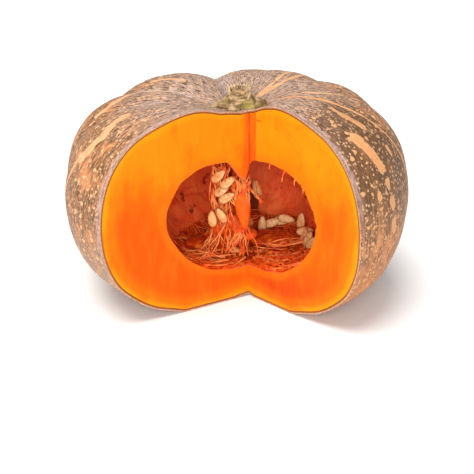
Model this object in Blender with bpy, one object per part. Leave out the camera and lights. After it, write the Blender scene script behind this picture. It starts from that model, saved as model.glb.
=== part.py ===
"""A grey-green winter squash with one wide slice cut out of its front, at its real size.

The squash stands on its base with its stem up, and the origin is at the middle of its base. The missing
slice is towards -Y, and +X is to the right of someone who looks into the cut. The model is in metres. Tables
of shapes are in millimetres and degrees. All but the last step is worked out round the stem's own axis.
"""

import math
import random

import bmesh
import bpy
from mathutils import Matrix, Vector
from mathutils.bvhtree import BVHTree

MM = 0.001

# Where the stem's axis stands, so that the origin is at the middle of the base
STEM_AXIS = Vector((1.6, -20.0, 0)) * MM

# Outline of the skin from the blossom end at the bottom to the stem dimple, as (radius, height)
SKIN_OUTLINE = (
    (0, 4.5), (14, 2), (27, -1.2), (56, -1.2), (73, 3.5), (89, 9.5), (104, 19.5), (117, 32), (125.5, 47),
    (130.5, 64), (132, 83), (130.5, 101), (125.5, 118.5), (116, 134), (102, 146), (84, 153.5), (66, 158),
    (50, 158.8), (34, 155.5), (19, 149.5), (0, 147),
)
WAIST_HEIGHT = 78 * MM
RIND_THICKNESS = 2.0 * MM
FIT_GAP = 0.4 * MM

# Furrows between the ribs: direction and relative depth
FURROWS = (
    (-80, 0.8), (-46.5, 0.8), (-17, 0.4), (15, 0.7), (46, 0.8), (75, 0.3), (102, 1.6), (148, 1.2), (179, 1.1),
    (213, 0.6), (246, 0.8),
)
FURROW_HALF_WIDTH = 11.0
FURROW_ROUNDNESS = 1.3
FURROW_FADE_AT_ENDS = 2.2
FURROW_LOWERS_SKIN = 0.6
FURROW_DEPTH_AT_WAIST = 0.028
FURROW_DEPTH_EXTRA_ON_TOP = 0.125
FURROW_STARTS_AT = 13 * MM
FURROW_FULL_AT = 42 * MM

# The squash isn't quite round: shares of its radius and height
SWELL_BACK, SWELL_LEFT, SWELL_OVAL, SWELL_SKEW = 0.028, 0.019, -0.007, -0.024
RISE_RIGHT, RISE_FRONT = 0.047, 0.056
RISE_FULL_AT = 45 * MM
HIP, HIP_DIRECTION = 0.055, -60.0

# Two upright knife cuts meet on an upright line just in front of the stem, and leave it in these directions
CUT_LINE = Vector((8.3, -15.1)) * MM
CUT_LEFT_DIRECTION = 211.0
CUT_RIGHT_DIRECTION = -45.3

# Outline of the seed hollow from its floor to its roof, as (radius, height) round its own centre
HOLLOW_OUTLINE = (
    (0, 25), (22, 25.5), (38, 28), (52, 34.5), (64, 44.5), (73, 56.5), (78.5, 70), (78.5, 83), (73.5, 95.5),
    (64, 106.5), (50, 113), (36, 114.5), (22, 113), (10, 111), (0, 110.5),
)
HOLLOW_CENTRE = Vector((9, 0)) * MM
HOLLOW_RIPPLE = 1.0 * MM
HOLLOW_MIDDLE = 65 * MM

# Flesh hangs from the roof of the hollow as a tongue, just left of the cut line
TONGUE_PLACE = Vector((5, -14.5)) * MM
TONGUE_LEFT, TONGUE_RIGHT, TONGUE_BACK = 11 * MM, 3 * MM, 10 * MM
TONGUE_DROP = 17 * MM
ROOF_SHARES = (0.70, 0.80)

# The stem, as (height above its foot, radius, reach of its five arms)
STEM_RINGS = ((-6, 17.0, 4.5), (1.5, 15.5, 4.5), (5.0, 11.5, 2.0), (9.0, 8.6, 0.8), (14.5, 8.6, 0.5))
STEM_FOOT = Vector((1, 0, 148)) * MM
STEM_ARMS = 5
STEM_ARM_DIRECTION = 180.0
STEM_SIDES = 30
STEM_RIM, STEM_DIMPLE_SLOPE, STEM_DIMPLE_DEPTH = 2.0 * MM, 3.0 * MM, 3.5 * MM

# The column of pulp that hangs from the roof: height, centre, half width and half depth
COLUMN = (
    (100, -4, 2, 13, 14), (86, -6, 3, 13, 15), (66, -5, 3, 13, 14), (46, -6, 4, 16, 17), (32, -8, 6, 23, 22),
)
COLUMN_STRANDS = 20
STRAND_RADIUS = 2.8 * MM
LOBE_CENTRE, LOBE_SIZE = Vector((3.5, -7.5, 64)) * MM, Vector((7, 6, 13.5)) * MM

# The net of pulp on the floor of the hollow
BED_SHARE = 0.29
BED_THICKNESS = 3.0 * MM
BED_ROWS, BED_SIDES = 6, 30
SPOKES = 22
SPOKE_LIFTS = (2.0, 3.5, 2.5, 4.5, 3.0, 2.0)
SPOKE_RADIUS, HOOP_RADIUS = 1.6 * MM, 1.5 * MM
HOOPS = (0.48, 0.74, 1.0)
PULP_VOXEL = 1.5 * MM
PULP_TRIANGLES = 3600

# Seeds lie in rows that overlap like tiles: name, how many, middle of the first and last one, the ways that
# the points of the first and last one aim, and the way that they all face
SEED_LENGTH, SEED_WIDTH, SEED_THICKNESS = 15.0 * MM, 7.4 * MM, 3.2 * MM
SEED_SIDES = 10
SEED_ROWS = (
    ("seeds_hanging", 5, (-14, -9, 95), (-9.5, -10.5, 79),
     (0.8, 0.1, 0.5), (0.7, 0.1, 0.7), (-0.4, -0.9, 0.3)),
    ("seeds_tassel", 3, (-19, -11, 62.5), (-13, -12, 65),
     (0.0, 0.0, 1.0), (-0.6, 0.0, 0.8), (-0.2, -1.0, 0.1)),
    ("seeds_under_tongue", 2, (12.5, -6, 85), (15, -1, 83),
     (-0.2, 0.1, 1.0), (-0.3, 0.1, 1.0), (1.0, -0.3, 0.0)),
    ("seeds_left_floor", 5, (-13, 16, 34), (-3, -7, 31),
     (0.9, 0.3, 0.4), (0.9, -0.5, 0.1), (-0.1, -0.6, 0.8)),
    ("seeds_right_floor", 4, (19, 34, 38), (35, 36, 39),
     (0.0, 0.2, 1.0), (1.0, 0.1, 0.2), (0.2, -0.9, 0.4)),
    ("seeds_right_heap", 5, (49, 22, 44), (57, 5, 35),
     (0.1, 0.1, 1.0), (0.8, -0.2, 0.5), (-0.5, -0.7, 0.5)),
    ("seeds_back", 5, (-12, 40, 37), (8, 46, 37),
     (0.3, 0.6, 0.5), (-0.2, 0.7, 0.5), (0.2, -0.6, 0.7)),
)
SEED_TWIST = 16.0
SEED_GAP = 0.35 * MM
WALL_TRIES = 6

CAP_ROWS = 3
SIDE_ROWS = 18
RIB_STEP = 6.5
HOLLOW_COLUMNS = 30
ROOF_CROWDING = 1.35
FACE_STEPS = 3
SHARP_ANGLE = 50

# Finishes: colour and roughness
FINISHES = {
    "rind": ((0.22, 0.19, 0.14), 0.55),
    "flesh": ((0.95, 0.36, 0.02), 0.40),
    "stem": ((0.33, 0.29, 0.15), 0.80),
    "pulp": ((0.80, 0.15, 0.02), 0.35),
    "seed": ((0.80, 0.55, 0.27), 0.45),
}


def clear_scene():
    for obj in list(bpy.data.objects):
        bpy.data.objects.remove(obj, do_unlink=True)


def finish_material(name):
    found = bpy.data.materials.get(name)
    if found:
        return found
    colour, roughness = FINISHES[name]
    made = bpy.data.materials.new(name)
    made.use_nodes = True
    shader = made.node_tree.nodes["Principled BSDF"]
    shader.inputs["Base Color"].default_value = (*colour, 1)
    shader.inputs["Roughness"].default_value = roughness
    shader.inputs["Metallic"].default_value = 0
    return made


def add_object(name, mesh):
    obj = bpy.data.objects.new(name, mesh)
    bpy.context.scene.collection.objects.link(obj)
    return obj


def object_from_bmesh(name, bm):
    bmesh.ops.recalc_face_normals(bm, faces=bm.faces)
    mesh = bpy.data.meshes.new(name)
    bm.to_mesh(mesh)
    bm.free()
    return add_object(name, mesh)


def dress(obj, finish):
    obj.data.shade_smooth()
    obj.data.set_sharp_from_angle(angle=math.radians(SHARP_ANGLE))
    obj.data.materials.clear()
    obj.data.materials.append(finish_material(finish))
    return obj


def apply_modifiers(obj):
    bpy.context.view_layer.update()
    graph = bpy.context.evaluated_depsgraph_get()
    mesh = bpy.data.meshes.new_from_object(obj.evaluated_get(graph))
    obj.modifiers.clear()
    obj.data = mesh


def apply_boolean(obj, others, operation):
    """Joins the other objects to obj, or cuts them from it, and removes them."""
    tools = bpy.data.collections.new("tools")
    bpy.context.scene.collection.children.link(tools)
    for other in others:
        bpy.context.scene.collection.objects.unlink(other)
        tools.objects.link(other)
    boolean = obj.modifiers.new(operation.title(), "BOOLEAN")
    boolean.operation = operation
    boolean.operand_type = "COLLECTION"
    boolean.collection = tools
    boolean.solver = "EXACT"
    apply_modifiers(obj)
    for other in others:
        bpy.data.objects.remove(other, do_unlink=True)
    bpy.data.collections.remove(tools)


def keep_largest_piece(obj):
    """Drops loose scraps and sealed bubbles, and keeps the piece with the most faces."""
    bm = bmesh.new()
    bm.from_mesh(obj.data)
    left = set(bm.verts)
    pieces = []
    while left:
        piece = {left.pop()}
        edge_of_piece = set(piece)
        while edge_of_piece:
            near = {e.other_vert(v) for v in edge_of_piece for e in v.link_edges}
            edge_of_piece = near - piece
            piece |= near
        left -= piece
        pieces.append(piece)
    largest = max(pieces, key=len)
    scraps = [v for v in bm.verts if v not in largest]
    bmesh.ops.delete(bm, geom=scraps, context="VERTS")
    bm.to_mesh(obj.data)
    bm.free()


class Outline:
    """A smooth curve through (radius, height) points. Its argument runs from 0 to 1 with the length."""

    def __init__(self, points):
        self.points = [Vector(point) * MM for point in points]
        reach = [0.0]
        for a, b in zip(self.points, self.points[1:]):
            reach.append(reach[-1] + (b - a).length)
        self.at = [value / reach[-1] for value in reach]
        last = len(self.points) - 1
        self.slopes = []
        for k in range(last + 1):
            before, after = max(k - 1, 0), min(k + 1, last)
            rise = self.points[after] - self.points[before]
            self.slopes.append(rise / (self.at[after] - self.at[before]))
        self.slopes[0].y = 0
        self.slopes[-1].y = 0

    def __call__(self, share):
        share = min(max(share, 0.0), 1.0)
        k = max(j for j in range(len(self.at) - 1) if self.at[j] <= share)
        span = self.at[k + 1] - self.at[k]
        t = (share - self.at[k]) / span
        a, b = self.points[k], self.points[k + 1]
        line = (2 * t**3 - 3 * t**2 + 1) * a + (3 * t**2 - 2 * t**3) * b
        bend = (t**3 - 2 * t**2 + t) * self.slopes[k] + (t**3 - t**2) * self.slopes[k + 1]
        return line + span * bend

    def inward(self, share):
        """The unit vector that points from the outline to its inside."""
        step = 0.002
        along = (self(share + step) - self(share - step)).normalized()
        return Vector((-along.y, along.x))


skin_outline = Outline(SKIN_OUTLINE)
hollow_outline = Outline(HOLLOW_OUTLINE)


def ramp(value, low, high):
    return min(max((value - low) / (high - low), 0.0), 1.0)


def furrow_depth(azimuth):
    """How deep the furrows are in this direction: 0 on a rib, about 1 in a furrow."""
    depth = 0.0
    for direction, share in FURROWS:
        away = abs((azimuth - direction + 180) % 360 - 180) / FURROW_HALF_WIDTH
        depth += share * math.exp(-(away**FURROW_ROUNDNESS))
    return depth


def skin_point(azimuth, share, inset=0.0):
    """A point of the skin, or of a surface that lies inset below it."""
    flat = skin_outline(share) + inset * skin_outline.inward(share)
    radius, height = max(flat.x, 0.0), flat.y - WAIST_HEIGHT
    lean = math.atan2(height, radius)
    upper = max(math.sin(lean), 0.0)
    fade = min(FURROW_FADE_AT_ENDS * math.cos(lean), ramp(radius, FURROW_STARTS_AT, FURROW_FULL_AT))
    dent = furrow_depth(azimuth) * fade
    dent *= FURROW_DEPTH_AT_WAIST + FURROW_DEPTH_EXTRA_ON_TOP * upper**1.5
    turn = math.radians(azimuth)
    swell = 1 - SWELL_LEFT * math.cos(turn) + SWELL_BACK * math.sin(turn)
    swell += SWELL_OVAL * math.cos(2 * turn) + SWELL_SKEW * math.sin(2 * turn)
    rise = RISE_RIGHT * math.cos(turn) - RISE_FRONT * math.sin(turn)
    rise *= upper * ramp(radius, 0, RISE_FULL_AT)
    lower = ramp(-math.sin(lean), 0, 0.7)
    swell += HIP * lower * max(math.cos(turn - math.radians(HIP_DIRECTION)), 0.0) ** 4
    radius *= swell * (1 - dent)
    height *= (1 + rise) * (1 - FURROW_LOWERS_SKIN * dent)
    return Vector((
        radius * math.cos(turn),
        radius * math.sin(turn),
        max(WAIST_HEIGHT + height, max(inset, 0.0)),
    ))


def tongue_drop(x, y):
    """How far the tongue hangs below the roof of the hollow at a place."""
    across = x - TONGUE_PLACE.x
    across /= TONGUE_LEFT if across < 0 else TONGUE_RIGHT
    back = (y - TONGUE_PLACE.y) / TONGUE_BACK
    return TONGUE_DROP * math.exp(-(across**2) - back**2)


def hollow_point(azimuth, share, inset=0.0):
    """A point of the wall of the seed hollow, or of a surface inset towards the middle of the hollow."""
    flat = hollow_outline(share) + inset * hollow_outline.inward(share)
    turn = math.radians(azimuth)
    ripple = math.sin(7 * turn) + 0.5 * math.sin(12 * turn + 40 * flat.y)
    radius = max(flat.x + HOLLOW_RIPPLE * ramp(flat.x, 20 * MM, 60 * MM) * ripple, 0.0)
    x = HOLLOW_CENTRE.x + radius * math.cos(turn)
    y = HOLLOW_CENTRE.y + radius * math.sin(turn)
    return Vector((x, y, flat.y - tongue_drop(x, y) * ramp(share, *ROOF_SHARES)))


class Surface:
    """A surface round an upright axis, in rows from the bottom to the top.

    Rings inside the circle through the cut line are whole. The others run from one knife cut, round the
    back, to the other. Crowding above 1 draws the rows together towards the top.
    """

    def __init__(self, point, centre, stations, step, crowding=1.0):
        self.point = point
        self.centre = centre
        self.start = CUT_LINE - centre
        self.seam = math.degrees(math.atan2(self.start.y, self.start.x))
        self.stations = stations
        borders = (CUT_RIGHT_DIRECTION, *stations, CUT_LEFT_DIRECTION)
        self.counts = [math.ceil((b - a) / step) for a, b in zip(borders, borders[1:])]
        low = self.share_at_cut_line(0.0, 0.4)
        high = self.share_at_cut_line(1.0, 0.6)
        self.shares = [low * k / CAP_ROWS for k in range(CAP_ROWS)]
        self.shares += [high - (high - low) * (1 - k / SIDE_ROWS) ** crowding for k in range(SIDE_ROWS)]
        self.shares += [high + (1 - high) * k / CAP_ROWS for k in range(CAP_ROWS + 1)]

    def reach(self, azimuth, share):
        point = self.point(azimuth, share)
        return math.hypot(point.x - self.centre.x, point.y - self.centre.y)

    def share_at_cut_line(self, inside, outside):
        """The share of the outline whose ring passes through the cut line."""
        for _ in range(40):
            middle = (inside + outside) / 2
            if self.reach(self.seam, middle) > self.start.length:
                outside = middle
            else:
                inside = middle
        return (inside + outside) / 2

    def cut_azimuth(self, share, direction):
        """The azimuth at which a ring meets the knife cut that runs in this direction."""
        along = Vector((math.cos(math.radians(direction)), math.sin(math.radians(direction))))
        azimuth = direction
        for _ in range(16):
            radius = self.reach(azimuth, share)
            across = self.start.dot(along) ** 2 - self.start.length_squared + radius**2
            meet = self.start + along * (math.sqrt(max(across, 0.0)) - self.start.dot(along))
            azimuth = math.degrees(math.atan2(meet.y, meet.x))
        return azimuth

    def azimuths(self, row):
        """The azimuths of a row's points, from the right knife cut to the left one."""
        begin, end = self.seam, self.seam + 360
        if CAP_ROWS < row < CAP_ROWS + SIDE_ROWS:
            begin = self.cut_azimuth(self.shares[row], CUT_RIGHT_DIRECTION)
            end = self.cut_azimuth(self.shares[row], CUT_LEFT_DIRECTION) % 360
        borders = (begin, *self.stations, end)
        found = []
        for a, b, count in zip(borders, borders[1:], self.counts):
            found += [a + (b - a) * k / count for k in range(count)]
        return found + [end]

    def add_to(self, bm):
        """Adds the surface's points and faces, and returns its rows of vertices."""
        rows = []
        for number, share in enumerate(self.shares):
            azimuths = self.azimuths(number)
            if share in (0.0, 1.0):
                rows.append([bm.verts.new(self.point(0.0, share))] * len(azimuths))
                continue
            row = [bm.verts.new(self.point(azimuth, share)) for azimuth in azimuths[:-1]]
            ring_is_whole = not CAP_ROWS < number < CAP_ROWS + SIDE_ROWS
            row.append(row[0] if ring_is_whole else bm.verts.new(self.point(azimuths[-1], share)))
            rows.append(row)
        for low, high in zip(rows, rows[1:]):
            add_strip(bm, low, high)
        return rows


def join_rings(bm, low, high):
    """Adds a band of faces between two closed rings that have the same number of points."""
    for k in range(len(low)):
        bm.faces.new((low[k - 1], low[k], high[k], high[k - 1]))


def add_strip(bm, low, high):
    """Adds triangles between two rows, and skips those with a corner that is there twice."""
    for k in range(len(low) - 1):
        for corners in ((low[k], low[k + 1], high[k + 1]), (low[k], high[k + 1], high[k])):
            if len(set(corners)) == 3:
                bm.faces.new(corners)


def add_cut_faces(bm, outer, inner, steps):
    """Closes the solid between two surfaces along both knife cuts, which share the lines where they meet."""
    ends = (CAP_ROWS, CAP_ROWS + SIDE_ROWS)
    shared = {}
    for side in (0, -1):
        lines = []
        for row in range(ends[0], ends[1] + 1):
            line = shared.get(row)
            if line is None:
                a, b = outer[row][side], inner[row][side]
                middle = [bm.verts.new(a.co.lerp(b.co, k / steps)) for k in range(1, steps)]
                line = [a, *middle, b]
            if row in ends:
                shared[row] = line
            lines.append(line)
        for low, high in zip(lines, lines[1:]):
            add_strip(bm, low, high)


def skin_surface(inset):
    stations = [direction for direction, _ in FURROWS if -40 < direction < 200]
    return Surface(lambda a, s: skin_point(a, s, inset), Vector((0, 0)), stations, RIB_STEP)


def hollow_surface(inset=0.0):
    step = (CUT_LEFT_DIRECTION - CUT_RIGHT_DIRECTION) / HOLLOW_COLUMNS
    return Surface(lambda a, s: hollow_point(a, s, inset), HOLLOW_CENTRE, (), step, ROOF_CROWDING)


def shell(name, outside, inside, steps):
    bm = bmesh.new()
    add_cut_faces(bm, outside.add_to(bm), inside.add_to(bm), steps)
    return object_from_bmesh(name, bm)


def slice_cutter():
    """An upright wedge that fills the gap which the two knife cuts leave."""
    reach, floor, roof = 200 * MM, -20 * MM, 200 * MM
    bm = bmesh.new()
    corners = [CUT_LINE]
    for direction in (CUT_LEFT_DIRECTION, CUT_RIGHT_DIRECTION):
        turn = math.radians(direction)
        corners.append(CUT_LINE + reach * Vector((math.cos(turn), math.sin(turn))))
    face = bm.faces.new([bm.verts.new((*corner, floor)) for corner in corners])
    top = bmesh.ops.extrude_face_region(bm, geom=[face])
    moved = [item for item in top["geom"] if isinstance(item, bmesh.types.BMVert)]
    bmesh.ops.translate(bm, verts=moved, vec=(0, 0, roof - floor))
    return object_from_bmesh("slice_cutter", bm)


def solid_within(name, surface):
    """Everything that a surface encloses behind the two knife cuts, as one solid."""
    bm = bmesh.new()
    rows = surface.add_to(bm)[CAP_ROWS : CAP_ROWS + SIDE_ROWS + 1]
    for side in (0, -1):
        bm.faces.new([row[side] for row in rows])
    return object_from_bmesh(name, bm)


def make_stem():
    """A flared stub with five arms, hollowed on top, seated on the skin and trimmed by the knife."""
    bm = bmesh.new()
    rings = []
    for height, radius, arm in STEM_RINGS:
        ring = []
        for k in range(STEM_SIDES):
            turn = 2 * math.pi * k / STEM_SIDES
            wave = 0.5 + 0.5 * math.cos(STEM_ARMS * (turn - math.radians(STEM_ARM_DIRECTION)))
            reach = (radius - arm + 2 * arm * wave**1.5) * MM
            offset = Vector((reach * math.cos(turn), reach * math.sin(turn), height * MM))
            ring.append(bm.verts.new(STEM_FOOT + offset))
        rings.append(ring)
    bm.faces.new(rings[0])
    rim = bm.faces.new(rings[-1])
    for low, high in zip(rings, rings[1:]):
        join_rings(bm, low, high)
    bmesh.ops.inset_region(bm, faces=[rim], thickness=STEM_RIM)
    bmesh.ops.inset_region(bm, faces=[rim], thickness=STEM_DIMPLE_SLOPE, depth=-STEM_DIMPLE_DEPTH)
    stem = object_from_bmesh("stem", bm)
    apply_boolean(stem, [solid_within("skin", skin_surface(-FIT_GAP)), slice_cutter()], "DIFFERENCE")
    keep_largest_piece(stem)
    return dress(stem, "stem")


def add_strand(curve, points, radii):
    spline = curve.splines.new("NURBS")
    spline.points.add(len(points) - 1)
    for slot, point, radius in zip(spline.points, points, radii):
        slot.co = (*point, 1)
        slot.radius = radius
    spline.order_u = 3
    spline.use_endpoint_u = True


def clear_height(wall, point):
    """The height nearest to the point's own at which a strand is clear of the roof and the floor."""
    middle = Vector((point.x, point.y, HOLLOW_MIDDLE))
    roof = wall.ray_cast(middle, Vector((0, 0, 1)))[0]
    floor = wall.ray_cast(middle, Vector((0, 0, -1)))[0]
    return min(max(point.z, floor.z + STRAND_RADIUS), roof.z - STRAND_RADIUS)


def add_column(curve, wall):
    """Strands that hang from the roof of the hollow, sway, and spread over its floor."""
    draw = random.Random(5)
    for k in range(COLUMN_STRANDS):
        turn = 2.4 * k + draw.uniform(-0.3, 0.3)
        out = math.sqrt((k + 0.5) / COLUMN_STRANDS)
        points, radii = [], []
        for height, x, y, width, depth in COLUMN:
            turn += draw.uniform(-0.5, 0.5)
            offset = Vector((out * width * math.cos(turn), out * depth * math.sin(turn), draw.uniform(-2, 2)))
            point = (Vector((x, y, height)) + offset) * MM
            point.z = clear_height(wall, point)
            points.append(point)
            radii.append(STRAND_RADIUS * draw.uniform(0.7, 1.3))
        add_strand(curve, points, radii)


def add_net(curve):
    """Strands along the floor of the hollow: spokes from its middle, and hoops across them."""
    draw = random.Random(8)
    for k in range(SPOKES):
        azimuth = 360 * k / SPOKES + draw.uniform(-5, 5)
        points = []
        for number, lift in enumerate(SPOKE_LIFTS):
            share = BED_SHARE * (0.15 + 0.2 * number)
            azimuth += draw.uniform(-4, 4)
            points.append(hollow_point(azimuth, share, lift * draw.uniform(0.7, 1.3) * MM))
        add_strand(curve, points, [SPOKE_RADIUS * draw.uniform(0.7, 1.3) for _ in points])
    for hoop in HOOPS:
        points = []
        for azimuth in range(-60, 241, 10):
            share = BED_SHARE * hoop * draw.uniform(0.85, 1.15)
            points.append(hollow_point(azimuth, share, draw.uniform(2, 6) * MM))
        add_strand(curve, points, [HOOP_RADIUS * draw.uniform(0.7, 1.3) for _ in points])


def add_bed(bm):
    """A thin bowl of pulp that lies on the floor of the hollow."""
    step = 360 / BED_SIDES
    rims = []
    for inset in (-BED_THICKNESS, BED_THICKNESS):
        rings = []
        for row in range(1, BED_ROWS + 1):
            share = BED_SHARE * row / BED_ROWS
            rings.append([bm.verts.new(hollow_point(step * k, share, inset)) for k in range(BED_SIDES)])
        for low, high in zip(rings, rings[1:]):
            join_rings(bm, low, high)
        bm.faces.new(rings[0])
        rims.append(rings[-1])
    join_rings(bm, *rims)


def add_lobe(bm):
    """The smooth flap of pulp that bulges from the front of the column."""
    place = Matrix.Translation(LOBE_CENTRE) @ Matrix.Diagonal((*LOBE_SIZE, 1))
    bmesh.ops.create_icosphere(bm, subdivisions=2, radius=1, matrix=place)


def hollow_tree():
    """A search tree of the wall of the hollow, whose normals point into the flesh."""
    bm = bmesh.new()
    hollow_surface().add_to(bm)
    bm.normal_update()
    tree = BVHTree.FromBMesh(bm)
    bm.free()
    return tree


def make_pulp(wall, seeds):
    """One stringy body: the column, the net and the bed, with a pocket for each seed that lies in it."""
    curve = bpy.data.curves.new("strands", "CURVE")
    curve.dimensions = "3D"
    curve.bevel_depth = 1.0
    curve.bevel_resolution = 1
    curve.resolution_u = 4
    curve.use_fill_caps = True
    add_column(curve, wall)
    add_net(curve)
    strands = add_object("strands", curve)
    bpy.context.view_layer.update()
    bm = bmesh.new()
    bm.from_mesh(strands.to_mesh())
    bpy.data.objects.remove(strands, do_unlink=True)
    add_lobe(bm)
    add_bed(bm)
    pulp = object_from_bmesh("pulp", bm)
    remesh = pulp.modifiers.new("Remesh", "REMESH")
    remesh.mode = "VOXEL"
    remesh.voxel_size = PULP_VOXEL
    apply_modifiers(pulp)
    keep_largest_piece(pulp)
    decimate = pulp.modifiers.new("Decimate", "DECIMATE")
    decimate.ratio = PULP_TRIANGLES / (2 * len(pulp.data.polygons))
    decimate.use_collapse_triangulate = True
    apply_modifiers(pulp)
    apply_boolean(pulp, [solid_within("hollow", hollow_surface(FIT_GAP))], "INTERSECT")
    apply_boolean(pulp, seeds, "DIFFERENCE")
    keep_largest_piece(pulp)
    return dress(pulp, "pulp")


def seed_mesh(swell):
    """A flat oval seed that narrows to a point at +X, as three rings closed by two caps."""
    bm = bmesh.new()
    rings = []
    for share, height in ((0.62, -0.5), (1.0, 0.0), (0.62, 0.5)):
        ring = []
        for k in range(SEED_SIDES):
            turn = 2 * math.pi * k / SEED_SIDES
            narrow = 1 - 0.28 * math.cos(turn)
            x = share * (SEED_LENGTH / 2 + swell) * math.cos(turn)
            y = share * (SEED_WIDTH / 2 * narrow + swell) * math.sin(turn)
            ring.append(bm.verts.new((x, y, height * (SEED_THICKNESS + 2 * swell))))
        rings.append(ring)
    for low, high in zip(rings, rings[1:]):
        join_rings(bm, low, high)
    bm.faces.new(rings[0])
    bm.faces.new(rings[-1])
    return bm


def seed_places(count, first, last, first_aim, last_aim, face, draw):
    """A row of placements whose seeds overlap, each a little out of line with its neighbour."""
    first, last = Vector(first) * MM, Vector(last) * MM
    for k in range(count):
        middle = first.lerp(last, k / (count - 1))
        along = Vector(first_aim).lerp(Vector(last_aim), k / (count - 1)).normalized()
        across = Vector(face).cross(along).normalized()
        frame = Matrix((along, across, along.cross(across))).transposed().to_4x4()
        twist = Matrix.Rotation(math.radians(draw.uniform(-SEED_TWIST, SEED_TWIST)), 4, "Z")
        tilt = Matrix.Rotation(math.radians(draw.uniform(-SEED_TWIST, SEED_TWIST)), 4, "X")
        yield Matrix.Translation(middle) @ frame @ twist @ tilt


def shift_off_wall(place, wall):
    """How far a seed has to move until all of it is clear of the wall of the hollow."""
    bm = seed_mesh(0.0)
    bmesh.ops.transform(bm, matrix=place, verts=bm.verts)
    shift = Vector()
    for _ in range(WALL_TRIES):
        worst, push = FIT_GAP, None
        for vertex in bm.verts:
            spot, normal, _, _ = wall.find_nearest(vertex.co + shift, SEED_THICKNESS)
            if spot is None:
                continue
            clear = (spot - vertex.co - shift).dot(normal)
            if clear < worst:
                worst, push = clear, -normal
        if push is None:
            break
        shift += push * (1.5 * FIT_GAP - worst)
    bm.free()
    return shift


def placed_seed(name, place, swell, shift):
    bm = seed_mesh(swell)
    bmesh.ops.transform(bm, matrix=Matrix.Translation(shift) @ place, verts=bm.verts)
    return object_from_bmesh(name, bm)


def make_seeds(wall):
    """Makes the bunches of seeds, and returns a larger copy of each seed that makes room for it."""
    draw = random.Random(11)
    room = []
    for name, *row in SEED_ROWS:
        singles = []
        for place in seed_places(*row, draw):
            shift = shift_off_wall(place, wall)
            singles.append(placed_seed(name, place, 0.0, shift))
            room.append(placed_seed("room", place, SEED_GAP, shift))
        bunch = singles[0]
        apply_boolean(bunch, singles[1:], "UNION")
        keep_largest_piece(bunch)
        bunch.name = name
        dress(bunch, "seed")
    return room


def stand_on_origin():
    """Moves every piece from the stem's axis to the middle of the base."""
    for obj in bpy.data.objects:
        obj.data.transform(Matrix.Translation(STEM_AXIS))


def main():
    clear_scene()
    rind = shell("rind", skin_surface(0.0), skin_surface(RIND_THICKNESS), 1)
    dress(rind, "rind")
    flesh = shell("flesh", skin_surface(RIND_THICKNESS + FIT_GAP), hollow_surface(), FACE_STEPS)
    dress(flesh, "flesh")
    make_stem()
    wall = hollow_tree()
    make_pulp(wall, make_seeds(wall))
    stand_on_origin()


main()
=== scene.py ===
"""The looks of a grey-green winter squash with a wide wedge cut out of its front.

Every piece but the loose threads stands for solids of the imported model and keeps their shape, with the
relief and the finish of the real thing. Tables of shapes are in millimetres, and in degrees round the stem.
"""

import functools
import math
import random

import bmesh
import bpy
from mathutils import Matrix, Vector, noise
from mathutils.bvhtree import BVHTree


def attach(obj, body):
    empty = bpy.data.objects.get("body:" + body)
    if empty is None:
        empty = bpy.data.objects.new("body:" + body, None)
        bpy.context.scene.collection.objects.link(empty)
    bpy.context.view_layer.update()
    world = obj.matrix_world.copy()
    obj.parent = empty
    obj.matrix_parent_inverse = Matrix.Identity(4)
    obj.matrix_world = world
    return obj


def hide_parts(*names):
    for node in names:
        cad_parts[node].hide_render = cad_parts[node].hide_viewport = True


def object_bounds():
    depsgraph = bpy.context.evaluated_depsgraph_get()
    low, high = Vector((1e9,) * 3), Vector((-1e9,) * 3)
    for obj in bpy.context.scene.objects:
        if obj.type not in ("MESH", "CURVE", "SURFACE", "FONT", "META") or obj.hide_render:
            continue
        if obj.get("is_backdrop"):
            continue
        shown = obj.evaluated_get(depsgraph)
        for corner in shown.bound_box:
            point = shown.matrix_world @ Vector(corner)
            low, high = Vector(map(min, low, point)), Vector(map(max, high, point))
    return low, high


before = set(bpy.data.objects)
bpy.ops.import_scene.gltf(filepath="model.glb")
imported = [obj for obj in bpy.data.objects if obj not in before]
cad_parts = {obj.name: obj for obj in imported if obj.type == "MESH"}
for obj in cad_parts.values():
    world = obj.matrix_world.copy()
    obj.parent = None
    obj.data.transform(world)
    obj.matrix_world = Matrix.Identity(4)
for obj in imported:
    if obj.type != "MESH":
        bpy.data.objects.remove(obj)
cad_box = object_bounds()

MM = 0.001

# Where the stem's axis stands in the model
STEM_AXIS = Vector((1.6, -20.0, 0)) * MM

# Outline of the skin from the blossom end at the bottom to the stem dimple, as (radius, height)
SKIN_OUTLINE = (
    (0, 4.5), (14, 2), (27, -1.2), (56, -1.2), (73, 3.5), (89, 9.5), (104, 19.5), (117, 32), (125.5, 47),
    (130.5, 64), (132, 83), (130.5, 101), (125.5, 118.5), (116, 134), (102, 146), (84, 153.5), (66, 158),
    (50, 158.8), (34, 155.5), (19, 149.5), (0, 147),
)
WAIST_HEIGHT = 78 * MM
RIND_THICKNESS = 2.0 * MM
FIT_GAP = 0.4 * MM

# Furrows between the ribs: direction and relative depth
FURROWS = (
    (-80, 0.8), (-46.5, 0.8), (-17, 0.4), (15, 0.7), (46, 0.8), (75, 0.3), (102, 1.6), (148, 1.2), (179, 1.1),
    (213, 0.6), (246, 0.8),
)
FURROW_HALF_WIDTH = 11.0
FURROW_ROUNDNESS = 1.3
FURROW_FADE_AT_ENDS = 2.2
FURROW_LOWERS_SKIN = 0.6
FURROW_DEPTH_AT_WAIST = 0.028
FURROW_DEPTH_EXTRA_ON_TOP = 0.125
FURROW_STARTS_AT = 13 * MM
FURROW_FULL_AT = 42 * MM
RELIEF_FULL_AT = 12 * MM

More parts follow.
